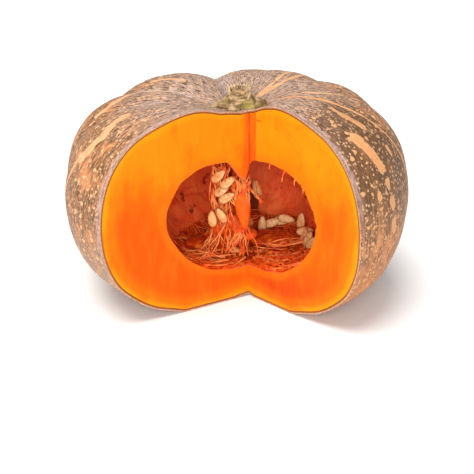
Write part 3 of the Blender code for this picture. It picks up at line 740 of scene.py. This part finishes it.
def wall_finish():
    """The wall of the seed hollow: brick red and wet, with dark pits, a few pale fibres and a painted shadow
    behind the column.
    """
    finish = Finish("hollow_wall", specular=0.12)
    fibre = finish.noise((120, 26), 4.0, 0.6, 0.6)
    patch = finish.noise((34, 34, 34), 4.0, 0.6)
    bands = finish.noise((26, 26, 110), 3.0, 0.5, 1.2)
    pits = finish.noise((60, 60, 60), 3.0, 0.6).step(0.63, 0.70)
    wall = finish.mix(fibre.step(0.3, 0.7), (244, 94, 44), (255, 116, 60))
    wall = wall.over(patch.step(0.40, 0.70), (255, 136, 72))
    wall = wall.over(bands.step(0.52, 0.66) * 0.5, (214, 68, 34))
    wall = wall.over(pits * 0.75, (96, 26, 14))
    here = finish.place(1, 1, 1)
    side, depth, height = [here.part(name) for name in "XYZ"]
    # Painted shadow: a dark upright patch low on the back wall, right of the column, where a deep gap lies in
    # shade.
    painted_gap_shadow = side.off(0.0145).step(0.0045, 0.0025) * depth.step(0.02, 0.03)
    painted_gap_shadow = painted_gap_shadow * (height.step(0.026, 0.034) * height.step(0.062, 0.054))
    wall = wall.over(painted_gap_shadow * 0.85, (70, 34, 28))
    return finish.done(wall, fibre + patch * 0.6 - pits * 0.5, 0.0009, fibre.step(0.3, 0.7, 0.35, 0.55))


def pulp_finish():
    """Soft wet pulp, bright orange where it is thick, with painted shade in deep red in the crevices between
    the strings.
    """
    finish = Finish("pulp", specular=0.12)
    fibre = finish.noise((420, 420, 90), 4.0, 0.65, 0.5)
    patch = finish.noise((70, 70, 50), 3.0, 0.6)
    pulp = finish.mix(fibre.step(0.35, 0.65), (216, 66, 16), (244, 100, 26))
    pulp = pulp.over(patch.step(0.52, 0.68), (250, 124, 36))
    # Painted shade: deep red where the pulp lies low between its neighbours, in the crevices between the
    # strings.
    pulp = pulp.over(finish.attribute("raised").step(0.0, 1.0, 1.0, 0.0) * 0.85, (150, 40, 16))
    flap = finish.mix(patch.step(0.35, 0.65), (238, 82, 10), (252, 108, 16))
    pulp = pulp.over(finish.attribute("flap"), flap)
    return finish.done(pulp, fibre, 0.0007, patch.step(0.3, 0.7, 0.30, 0.50))


def thread_finish():
    """Fine threads of pulp, wet and bright orange."""
    finish = Finish("pulp_threads", specular=0.4, roughness=0.35)
    tone = finish.noise((110, 110, 110), 3.0, 0.6)
    shade = finish.mix(tone.step(0.36, 0.62), (244, 90, 20), (255, 156, 78))
    return finish.done(shade, finish.noise((900, 900, 900)), 0.0002)


def seed_finish():
    """Cream seeds in a thin orange film, with a darker rim and fine lines."""
    finish = Finish("seed", specular=0.4)
    film = finish.noise((150, 150, 150), 3.0, 0.6)
    grain = finish.noise((700, 500, 700), 4.0, 0.7)
    seed = finish.mix(grain.step(0.35, 0.65), (224, 158, 84), (250, 206, 140))
    seed = seed.over(film.step(0.46, 0.68) * 0.7, (228, 128, 54))
    seed = seed.over(finish.attribute("rim") * 0.85, (160, 76, 30))
    return finish.done(seed, grain, 0.00015, film.step(0.3, 0.7, 0.32, 0.5))


def stem_finish():
    """Dry brown cork, with cream on its broken top rim and a painted highlight along the crests of its arms,
    and olive patches at its foot.
    """
    finish = Finish("stem", specular=0.15, roughness=0.85)
    cork = finish.noise((150, 150, 380), 5.0, 0.7, 0.4)
    patch = finish.noise((90, 90, 60), 3.0)
    height = finish.place(1, 1, 1).part("Z")
    stem = finish.mix(cork.step(0.38, 0.62), (104, 76, 50), (204, 166, 124))
    stem = stem.over(patch.step(0.46, 0.58) * height.step(0.160, 0.150) * 0.8, (158, 142, 66))
    stem = stem.over(patch.step(0.44, 0.34), (86, 66, 54))
    # The ridge mask: the cream rim on the stem's top and a pale ring on the knob, and a painted highlight on
    # the crests of the arms.
    ridge = finish.attribute("ridge") * cork.step(0.34, 0.56, 0.35, 0.9)
    return finish.done(stem.over(ridge, (224, 194, 150)), cork, 0.0012)


class Streaks:
    """How close a spot of the skin is to a pale streak: 1 in its middle, 0 at twice its width."""

    def __init__(self):
        self.lines = []
        for half_width, spots in STREAKS:
            self.lines.append((half_width * MM, [Vector(spot) for spot in spots]))
        draw = random.Random(21)
        for azimuth in range(76, 132, 8):
            start, lean = draw.uniform(0.45, 0.80), draw.uniform(-1.6, 1.6)
            spots = []
            for k in range(draw.randint(2, 6)):
                spots.append(Vector((azimuth + lean * k + draw.uniform(-0.5, 0.5), start + 0.03 * k)))
            self.lines.append((draw.uniform(0.9, 2.6) * MM, spots))

    def near(self, azimuth, share):
        width, length = math.radians(1) * skin_outline(share).x, skin_outline.length
        best = 0.0
        for half_width, spots in self.lines:
            away = (azimuth - spots[0].x + 180) % 360 - 180
            if abs(away) > 45:
                continue
            here = Vector((away * width, share * length))
            places = [Vector(((spot.x - spots[0].x) * width, spot.y * length)) for spot in spots]
            for a, b in zip(places, places[1:]):
                span = b - a
                t = min(max((here - a).dot(span) / span.length_squared, 0.0), 1.0)
                best = max(best, 1 - (here - a - t * span).length / (2 * half_width))
        return best


def gap_from_cuts(point):
    """How far a point lies from the nearer knife cut."""
    flat = point.to_2d() - CUT_LINE
    gaps = []
    for direction in (CUT_LEFT_DIRECTION, CUT_RIGHT_DIRECTION):
        along = heading(direction)
        gaps.append(abs(flat.cross(along)) if flat.dot(along) > 0 else flat.length)
    return min(gaps)


def make_rind():
    """The ribbed skin with its thickness, cut clean along both knife cuts."""
    bm = bmesh.new()
    furrow = bm.verts.layers.float.new("furrow")
    streak = bm.verts.layers.float.new("streak")
    cut_gap = bm.verts.layers.float.new("cut_gap")
    outside = Opened(rough_skin_point)
    inside = Opened(lambda a, s: skin_point(a, s, RIND_THICKNESS))
    streaks = Streaks()

    def skin(corner, across, along):
        azimuth, share = outside.spot(across, along)
        point, pattern = outside.place(corner, across, along)
        corner[furrow] = furrow_depth(azimuth) * smooth(share, 0.45, 0.8)
        corner[streak] = streaks.near(azimuth, share)
        corner[cut_gap] = gap_from_cuts(point)
        return point, pattern

    def edge(side):
        def place(corner, across, along):
            a, b = outside.end_point(side, along), inside.end_point(side, along)
            return a.lerp(b, across), (across, along)

        return place

    add_sheet(bm, SKIN_COLUMNS, SKIN_ROWS, skin)
    add_sheet(bm, LINING_COLUMNS, SKIN_ROWS, inside.place)
    sides = round(SKIN_ROWS * (1 - 2 * CAP_SHARE))
    for side in (0, 1):
        add_sheet(bm, 1, sides, edge(side), (CAP_SHARE, 1 - CAP_SHARE), 1)
    close_mesh(bm)
    finish_mesh(bm, "ribbed_rind", [skin_finish(), rind_edge_finish()], ["rind"], CREASE)


def make_flesh():
    """The thick wall of flesh with its two cut faces and the wall of the hollow."""
    bm = bmesh.new()
    from_rind = bm.verts.layers.float.new("from_rind")
    from_hollow = bm.verts.layers.float.new("from_hollow")
    torn = bm.verts.layers.float.new("torn")
    outside = Opened(lambda a, s: skin_point(a, s, RIND_THICKNESS + FIT_GAP))
    hollow = Opened(rough_hollow_point, HOLLOW_CENTRE)

    def back(corner, across, along):
        corner[from_hollow] = FAR
        return outside.place(corner, across, along)

    def wall(corner, across, along):
        corner[from_rind] = FAR
        return hollow.place(corner, across, along)

    def face(side):
        along_cut = heading((CUT_RIGHT_DIRECTION, CUT_LEFT_DIRECTION)[side])
        away = Vector((along_cut.y, -along_cut.x, 0)) * (1 if side == 0 else -1)

        def place(corner, across, along):
            a, b = outside.end_point(side, along), hollow.end_point(side, along)
            span = (b - a).length
            corner[from_rind] = span * across
            corner[from_hollow] = span * (1 - across)
            point = a.lerp(b, across)
            out = (point.to_2d() - CUT_LINE).length
            reach = (5 * MM, 9 * MM) if side == 0 else (0, 11 * MM)
            corner[torn] = (1 - smooth(out, *reach)) * smooth(point.z, 20 * MM, 90 * MM)
            inner = smooth(across, 0.0, 0.1) * (1 - smooth(across, 0.9, 1.0)) * smooth(out, 0, 3 * MM)
            waves = noise.noise(Vector((out * 40, 0, point.z * 60)))
            tears = noise.noise(Vector((out * 900, 5, point.z * 60))) * corner[torn]
            return point + away * inner * (0.25 * waves + 0.7 * tears) * MM, (out, point.z)

        return place

    add_sheet(bm, FLESH_COLUMNS, FLESH_ROWS, back)
    add_sheet(bm, WALL_COLUMNS, FLESH_ROWS, wall, material=1)
    sides = round(FLESH_ROWS * (1 - 2 * CAP_SHARE))
    for side in (0, 1):
        add_sheet(bm, FACE_COLUMNS, sides, face(side), (CAP_SHARE, 1 - CAP_SHARE))
    close_mesh(bm)
    finish_mesh(bm, "flesh_wall", [flesh_finish(), wall_finish()], ["flesh"], CREASE)


def solid_tree(node):
    """A search tree of one of the model's solids, round the stem's axis."""
    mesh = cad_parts[node].data
    corners = [vertex.co - STEM_AXIS for vertex in mesh.vertices]
    return BVHTree.FromPolygons(corners, [polygon.vertices for polygon in mesh.polygons])


def depth_behind_cuts(point):
    """How far a point lies behind the knife cuts, less than 0 between them, and the way to go back."""
    flat = point.to_2d() - CUT_LINE
    found = []
    for direction, side in ((CUT_LEFT_DIRECTION, 1), (CUT_RIGHT_DIRECTION, -1)):
        along = heading(direction)
        back = Vector((along.y, -along.x)) * side
        found.append((flat.dot(back), back))
    return max(found, key=lambda item: item[0])


def trim_to_cuts(point, clear=0.0):
    """Moves a point that lies between the knife cuts back to the nearer one, or clear behind it."""
    depth, back = depth_behind_cuts(point)
    if depth < clear:
        point.x += (clear - depth) * back.x
        point.y += (clear - depth) * back.y
    return point


def add_knob(bm, ground, ridge):
    """A small corky knob with a dent on its top, half sunk in the skin."""
    foot = ground.ray_cast(KNOB_PLACE.to_3d() + Vector((0, 0, 250 * MM)), Vector((0, 0, -1)))[0]
    for corner in bmesh.ops.create_icosphere(bm, subdivisions=BALL_DETAIL, radius=1.0)["verts"]:
        spot = corner.co.copy()
        swollen = 1 + 0.30 * noise.noise(spot * 1.7 + Vector((9, 0, 0)))
        dent = 0.35 * smooth(spot.z, 0.80, 1.0)
        corner[ridge] = 0.3 * smooth(spot.z, 0.45, 0.70) * (1 - smooth(spot.z, 0.80, 0.90))
        corner.co = foot + Vector([part * size * swollen for part, size in zip(spot, KNOB_SIZE)])
        corner.co.z += (0.50 - dent) * KNOB_SIZE[2]


def make_stem():
    """A corky stub that flares into five arms, with a hollow on its top, and the knob beside it."""
    bm = bmesh.new()
    ridge = bm.verts.layers.float.new("ridge")
    outline = Outline(STEM_OUTLINE)
    ground = solid_tree("rind")

    def place(corner, across, along):
        turn = 2 * math.pi * across
        flat = outline(along)
        wave = 0.5 + 0.5 * math.cos(STEM_ARMS * (turn - math.radians(STEM_ARM_DIRECTION)))
        low = 1 - smooth(flat.y, -1 * MM, 11 * MM)
        reach = flat.x * (1 + 0.32 * low * (2 * wave**1.5 - 1))
        outward = Vector((math.cos(turn), math.sin(turn), 0))
        cork = noise.noise(outward * 7 + Vector((0, 0, flat.y * 90)))
        grooves = noise.noise(outward * 11 + Vector((3, 0, flat.y * 25)))
        reach += (0.7 * cork + 0.6 * grooves) * MM * smooth(flat.x, 1 * MM, 6 * MM)
        front = smooth(-outward.y, -0.1, 0.75)
        broken = front * smooth(flat.y, 5 * MM, 14 * MM) * smooth(flat.x, 4 * MM, 8 * MM)
        drop = STEM_FRONT_DROP * broken * (1 + 0.5 * cork)
        drop -= 2.6 * cork * MM * smooth(flat.y, 10 * MM, 14 * MM)
        point = STEM_FOOT + outward * reach + Vector((0, 0, flat.y + 0.5 * cork * MM - drop))
        # Cream on the rim, less where the front is broken away, and a painted highlight on the crests of the
        # arms low down.
        rim = smooth(flat.y, 12.5 * MM, 14 * MM) * smooth(flat.x, 6 * MM, 7.4 * MM)
        corner[ridge] = rim * (1 - 0.7 * broken) + 0.6 * low * wave**6
        point = trim_to_cuts(point)
        hit = ground.ray_cast(point + Vector((0, 0, 60 * MM)), Vector((0, 0, -1)))[0]
        if hit is not None:
            point.z = max(point.z, hit.z - 0.4 * MM)
        return point, (across, along)

    add_sheet(bm, STEM_COLUMNS, STEM_ROWS, place)
    add_knob(bm, ground, ridge)
    close_mesh(bm)
    finish_mesh(bm, "stem_stub", [stem_finish()], ["stem"])


def thread_mesh(threads, roundness):
    """Round threads, each given as its points and its radii, as one bmesh."""
    curve = bpy.data.curves.new("threads", "CURVE")
    curve.dimensions = "3D"
    curve.bevel_depth = 1.0
    curve.bevel_resolution = roundness
    curve.resolution_u = 5
    curve.use_fill_caps = True
    for points, radii in threads:
        spline = curve.splines.new("NURBS")
        spline.points.add(len(points) - 1)
        for slot, point, radius in zip(spline.points, points, radii):
            slot.co = (*point, 1)
            slot.radius = radius
        spline.order_u = 3
        spline.use_endpoint_u = True
    holder = linked("threads", curve)
    bpy.context.view_layer.update()
    bm = bmesh.new()
    bm.from_mesh(holder.to_mesh())
    bpy.data.objects.remove(holder, do_unlink=True)
    bpy.data.curves.remove(curve)
    return bm


def column_threads(count, thickness, draw):
    """Strands that hang from the roof of the hollow, sway, and spread over its floor."""
    threads = []
    for k in range(count):
        turn = 2.4 * k + draw.uniform(-0.3, 0.3)
        out = math.sqrt((k + 0.5) / count)
        points, radii = [], []
        for height, x, y, width, depth in COLUMN:
            turn += draw.uniform(-0.5, 0.5)
            offset = (out * width * math.cos(turn), out * depth * math.sin(turn), draw.uniform(-2, 2))
            points.append((Vector((x, y, height)) + Vector(offset)) * MM)
            radii.append(thickness * draw.uniform(0.5, 1.5))
        threads.append((points, radii))
    return threads


def net_threads(spokes, rings, thickness, lift, draw):
    """Strands along the floor of the hollow: spokes from its middle, and rings across them."""
    routes = []
    for k in range(spokes):
        azimuth = 360 * k / spokes + draw.uniform(-5, 5)
        points = []
        for number in range(7):
            azimuth += draw.uniform(-5, 5)
            share = BED_SHARE * (0.1 + 0.14 * number)
            points.append(hollow_point(azimuth, share, draw.uniform(0.1, 1.0) * lift))
        routes.append(points)
    for ring in range(rings):
        share = BED_SHARE * (ring + 1.5) / (rings + 1)
        points = []
        for turn in range(-60, 241, 9):
            out = share * draw.uniform(0.85, 1.15)
            points.append(hollow_point(turn, out, draw.uniform(0.1, 1.0) * lift))
        routes.append(points)
    threads = []
    for points in routes:
        kept = [point for point in points if depth_behind_cuts(point)[0] > 2 * thickness]
        if len(kept) > 2:
            taper = [1 - 0.8 * number / len(kept) for number in range(len(kept))]
            threads.append((kept, [thickness * draw.uniform(0.4, 2.0) * share for share in taper]))
    return threads


def add_bed(bm):
    """A thin bowl of pulp that lies on the floor of the hollow and ends just behind the cuts."""
    limits = {}
    for column in range(BED_COLUMNS + 1):
        share = BED_SHARE
        while depth_behind_cuts(hollow_point(360 * column / BED_COLUMNS, share))[0] < BED_HALF_THICKNESS:
            share -= 0.004
        limits[column] = share
    for inset in (-BED_HALF_THICKNESS, BED_HALF_THICKNESS):
        def place(corner, across, along):
            turn = 2 * math.pi * across
            lump = noise.noise(Vector((math.cos(turn) * 9, math.sin(turn) * 9, along * 20)))
            depth = inset * (1 - smooth(along, 0.85, 1.0)) + lump * 0.8 * MM
            share = limits[round(across * BED_COLUMNS)] * along
            return hollow_point(360 * across, share, depth), (across, along)

        add_sheet(bm, BED_COLUMNS, BED_ROWS, place)
    bmesh.ops.remove_doubles(bm, verts=bm.verts, dist=WELD)


def remeshed(bm, voxel):
    """The outside of everything in the bmesh, as one mesh of even small squares."""
    mesh = bpy.data.meshes.new("rough")
    bm.to_mesh(mesh)
    bm.free()
    holder = linked("rough", mesh)
    remesh = holder.modifiers.new("Remesh", "REMESH")
    remesh.mode = "VOXEL"
    remesh.voxel_size = voxel
    bpy.context.view_layer.update()
    graph = bpy.context.evaluated_depsgraph_get()
    bm = bmesh.new()
    bm.from_mesh(holder.evaluated_get(graph).data)
    bpy.data.objects.remove(holder, do_unlink=True)
    bpy.data.meshes.remove(mesh)
    return bm


def set_raised(bm):
    """Notes on each corner how far it stands out of its neighbours, from 0 in a crevice to 1 on a crest."""
    raised = bm.verts.layers.float.new("raised")
    for vertex in bm.verts:
        around = [edge.other_vert(vertex).co for edge in vertex.link_edges]
        middle = sum(around, Vector()) / len(around)
        vertex[raised] = 0.5 + (vertex.co - middle).dot(vertex.normal) / (0.3 * MM)
    for _ in range(2):
        values = {}
        for vertex in bm.verts:
            near = [edge.other_vert(vertex)[raised] for edge in vertex.link_edges]
            values[vertex] = (vertex[raised] + sum(near)) / (1 + len(near))
        for vertex, value in values.items():
            vertex[raised] = value


def add_lumps(bm):
    """The soft tissue between the strands, and the smooth flap in front of it."""
    for middle, sizes in LUMPS:
        place = Matrix.Translation(Vector(middle) * MM) @ Matrix.Diagonal((*(Vector(sizes) * MM), 1))
        bmesh.ops.create_icosphere(bm, subdivisions=BALL_DETAIL, radius=1, matrix=place)
    flap = bmesh.ops.create_icosphere(bm, subdivisions=BALL_DETAIL, radius=1)["verts"]
    for vertex in flap:
        x, y, z = vertex.co
        width, lean = flap_width(z)
        vertex.co = FLAP_CENTRE + Vector((x * FLAP_SIZE.x * width + lean, y * FLAP_SIZE.y, z * FLAP_SIZE.z))


def flap_width(height):
    """The share of its full width, and the lean, that the flap has at a height from -1 to 1."""
    low = (1 - min(max(height, -1), 1)) / 2
    return 1 - (1 - FLAP_FOOT_WIDTH) * low**1.3, FLAP_LEAN * low


def on_flap(point):
    """1 on the smooth flap in front of the column, fading to 0 just off it."""
    offset = point - FLAP_CENTRE
    height = offset.z / FLAP_SIZE.z
    width, lean = flap_width(height)
    spread = Vector(((offset.x - lean) / (FLAP_SIZE.x * width), offset.y / FLAP_SIZE.y, height))
    return 1 - smooth(spread.length, 1.05, 1.35)


def make_pulp():
    """The stringy core: a column from roof to floor, a net on the floor, and a smooth flap in front."""
    draw = random.Random(5)
    threads = column_threads(COLUMN_STRANDS, STRAND_THICKNESS, draw)
    threads += net_threads(*STRAND_NET, draw)
    bm = thread_mesh(threads, 2)
    add_lumps(bm)
    add_bed(bm)
    bm = remeshed(bm, PULP_VOXEL)
    flap = bm.verts.layers.float.new("flap")
    for vertex in bm.verts:
        vertex[flap] = on_flap(vertex.co)
        spot = Vector((vertex.co.x, vertex.co.y, vertex.co.z * 0.35))
        height = (0.9 * ridges(spot * 170) + 0.4 * noise.noise(spot * 420)) * (1 - 0.6 * vertex[flap]) * MM
        vertex.co = trim_to_cuts(vertex.co + vertex.normal * height, PULP_CLEAR)
    bmesh.ops.smooth_vert(bm, verts=bm.verts, factor=0.3, use_axis_x=True, use_axis_y=True, use_axis_z=True)
    bm.normal_update()
    set_raised(bm)
    finish_mesh(bm, "stringy_pulp", [pulp_finish()], ["pulp"])


def fan_threads(draw):
    """Fine threads that cross the column, hang from the roof and lie over the floor."""
    threads = []
    for count, thickness, start, start_box, end, end_box, sag in THREAD_FANS:
        for _ in range(count):
            first = Vector(middle + draw.uniform(-half, half) for middle, half in zip(start, start_box))
            last = Vector(middle + draw.uniform(-half, half) for middle, half in zip(end, end_box))
            points, radii = [], []
            for k in range(6):
                t = k / 5
                wander = Vector(draw.uniform(-1.3, 1.3) for _ in range(3))
                point = first.lerp(last, t) + wander - Vector((0, 0, 4 * sag * t * (1 - t)))
                points.append(trim_to_cuts(point * MM, THREADS_CLEAR))
                radii.append(thickness * (1 - 0.6 * abs(2 * t - 1) ** 3) * draw.uniform(0.4, 1.6) * MM)
            threads.append((points, radii))
    return threads


def rim_threads():
    """Short threads that hang on the rim of the hollow at the right knife cut, just behind the cut."""
    along = heading(CUT_RIGHT_DIRECTION)
    behind = Vector((-along.y, along.x)) * PULP_CLEAR
    threads = []
    for ends in RIM_THREADS:
        points = []
        for out, height in ends:
            flat = CUT_LINE + along * out * MM + behind
            points.append(Vector((*flat, height * MM)))
        middle = points[0].lerp(points[1], 0.5) + Vector((-1.2, 0.8, 0.5)) * MM
        threads.append(([points[0], middle, points[1]], [0.7 * MM, 0.5 * MM, 0.25 * MM]))
    return threads


def make_threads():
    """All fine threads of the pulp."""
    draw = random.Random(17)
    threads = fan_threads(draw)
    threads += net_threads(*THREAD_NET, draw)
    threads += rim_threads()
    bm = thread_mesh(threads, 1)
    bmesh.ops.recalc_face_normals(bm, faces=bm.faces)
    finish_mesh(bm, "pulp_threads", [thread_finish()], [])


def add_seed(bm, place, rim):
    """A plump flat seed that narrows to a point at +X."""
    made = bmesh.ops.create_uvsphere(bm, u_segments=SEED_COLUMNS, v_segments=SEED_ROWS, radius=1)["verts"]
    for vertex in made:
        x, y, z = vertex.co
        out = math.hypot(x, y)
        narrow = 1 - 0.28 * x - 0.10 * smooth(x, 0.6, 1.0)
        height = math.copysign(abs(z) ** 0.8, z)
        vertex[rim] = smooth(out, 0.78, 0.96)
        vertex.co = (x * SEED_LENGTH / 2, y * SEED_WIDTH / 2 * narrow, height * SEED_THICKNESS / 2)
    bmesh.ops.transform(bm, matrix=place, verts=made)
    return made


def seed_places(count, first, last, first_aim, last_aim, face, draw):
    """A row of placements whose seeds overlap, each a little out of line with its neighbour."""
    first, last = Vector(first) * MM, Vector(last) * MM
    for k in range(count):
        middle = first.lerp(last, k / (count - 1))
        along = Vector(first_aim).lerp(Vector(last_aim), k / (count - 1)).normalized()
        across = Vector(face).cross(along).normalized()
        axes = Matrix((along, across, along.cross(across))).transposed().to_4x4()
        twist = Matrix.Rotation(math.radians(draw.uniform(-SEED_TWIST, SEED_TWIST)), 4, "Z")
        tilt = Matrix.Rotation(math.radians(draw.uniform(-SEED_TWIST, SEED_TWIST)), 4, "X")
        yield Matrix.Translation(middle) @ axes @ twist @ tilt


def hollow_tree():
    """A search tree of the wall of the hollow, whose normals point into the flesh."""
    bm = bmesh.new()
    add_sheet(bm, TREE_COLUMNS, TREE_ROWS, Opened(hollow_point, HOLLOW_CENTRE).place)
    bmesh.ops.remove_doubles(bm, verts=bm.verts, dist=WELD)
    bm.normal_update()
    tree = BVHTree.FromBMesh(bm)
    bm.free()
    return tree


def move_off_wall(bm, seed, wall):
    """Moves a seed until all of it is clear of the wall of the hollow."""
    for _ in range(WALL_TRIES):
        worst, push = FIT_GAP, None
        for vertex in seed:
            spot, normal, _, _ = wall.find_nearest(vertex.co, SEED_THICKNESS)
            if spot is None:
                continue
            clear = (spot - vertex.co).dot(normal)
            if clear < worst:
                worst, push = clear, -normal
        if push is None:
            return
        bmesh.ops.translate(bm, verts=seed, vec=push * (1.5 * FIT_GAP - worst))


def put_in_order(elements, middle):
    """Sorts corners or faces by where they lie, since a new ball has them in another order at each run."""
    found = sorted(elements, key=lambda element: middle(element)[:])
    places = {element: place for place, element in enumerate(found)}
    elements.sort(key=places.get)


def make_seeds():
    """The seeds, in the bunches in which they hang or lie together."""
    draw = random.Random(11)
    wall = hollow_tree()
    finish = seed_finish()
    for name, rows in SEED_BUNCHES.items():
        bm = bmesh.new()
        rim = bm.verts.layers.float.new("rim")
        for row in rows:
            for place in seed_places(*row, draw):
                seed = add_seed(bm, place, rim)
                move_off_wall(bm, seed, wall)
        put_in_order(bm.verts, lambda corner: corner.co)
        put_in_order(bm.faces, lambda face: face.calc_center_median())
        finish_mesh(bm, "cream_" + name, [finish], [name])


def put(name, data, place, aim):
    """Adds a camera or a light to the scene, turned from its place to what it aims at."""
    obj = linked(name, data)
    obj.location = place
    obj.rotation_euler = (Vector(aim) - Vector(place)).to_track_quat("-Z", "Y").to_euler()
    return obj


def set_camera():
    camera = bpy.data.cameras.new("camera")
    camera.sensor_width = 36
    camera.lens = CAMERA_LENS
    bpy.context.scene.camera = put("camera", camera, CAMERA_PLACE, CAMERA_AIM)


def add_light(name, kind, place, power):
    light = bpy.data.lights.new(name, kind)
    light.energy = power
    put(name, light, place, LIGHT_AIM)
    return light


def set_studio():
    """A white table in a bright white studio."""
    world = bpy.data.worlds.new("studio")
    world.use_nodes = True
    background = world.node_tree.nodes["Background"]
    background.inputs["Color"].default_value = (1, 1, 1, 1)
    background.inputs["Strength"].default_value = SKY_STRENGTH
    bpy.context.scene.world = world
    bpy.context.scene.view_settings.view_transform = "Standard"
    add_light("key", "SUN", KEY_PLACE, KEY_POWER).angle = math.radians(KEY_ANGLE)
    add_light("front", "AREA", FRONT_PLACE, FRONT_POWER).size = FRONT_SIZE
    bm = bmesh.new()
    bmesh.ops.create_grid(bm, x_segments=1, y_segments=1, size=TABLE_SIZE)
    mesh = bpy.data.meshes.new("table")
    bm.to_mesh(mesh)
    bm.free()
    finish = Finish("table", roughness=0.9)
    low, high = TABLE_WHITES
    cloth = {0: finish.noise((3, 3, 3), 1.0), 6: low, 7: high}
    finish.plug(finish.shader, {"Base Color": finish.add("ShaderNodeMix", cloth, 2, data_type="RGBA")})
    mesh.materials.append(finish.material)
    table = linked("table", mesh)
    table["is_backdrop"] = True


def main():
    set_camera()
    set_studio()
    make_rind()
    make_flesh()
    make_stem()
    make_pulp()
    make_threads()
    make_seeds()


main()

[[list(corner) for corner in box] for box in (cad_box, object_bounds())]
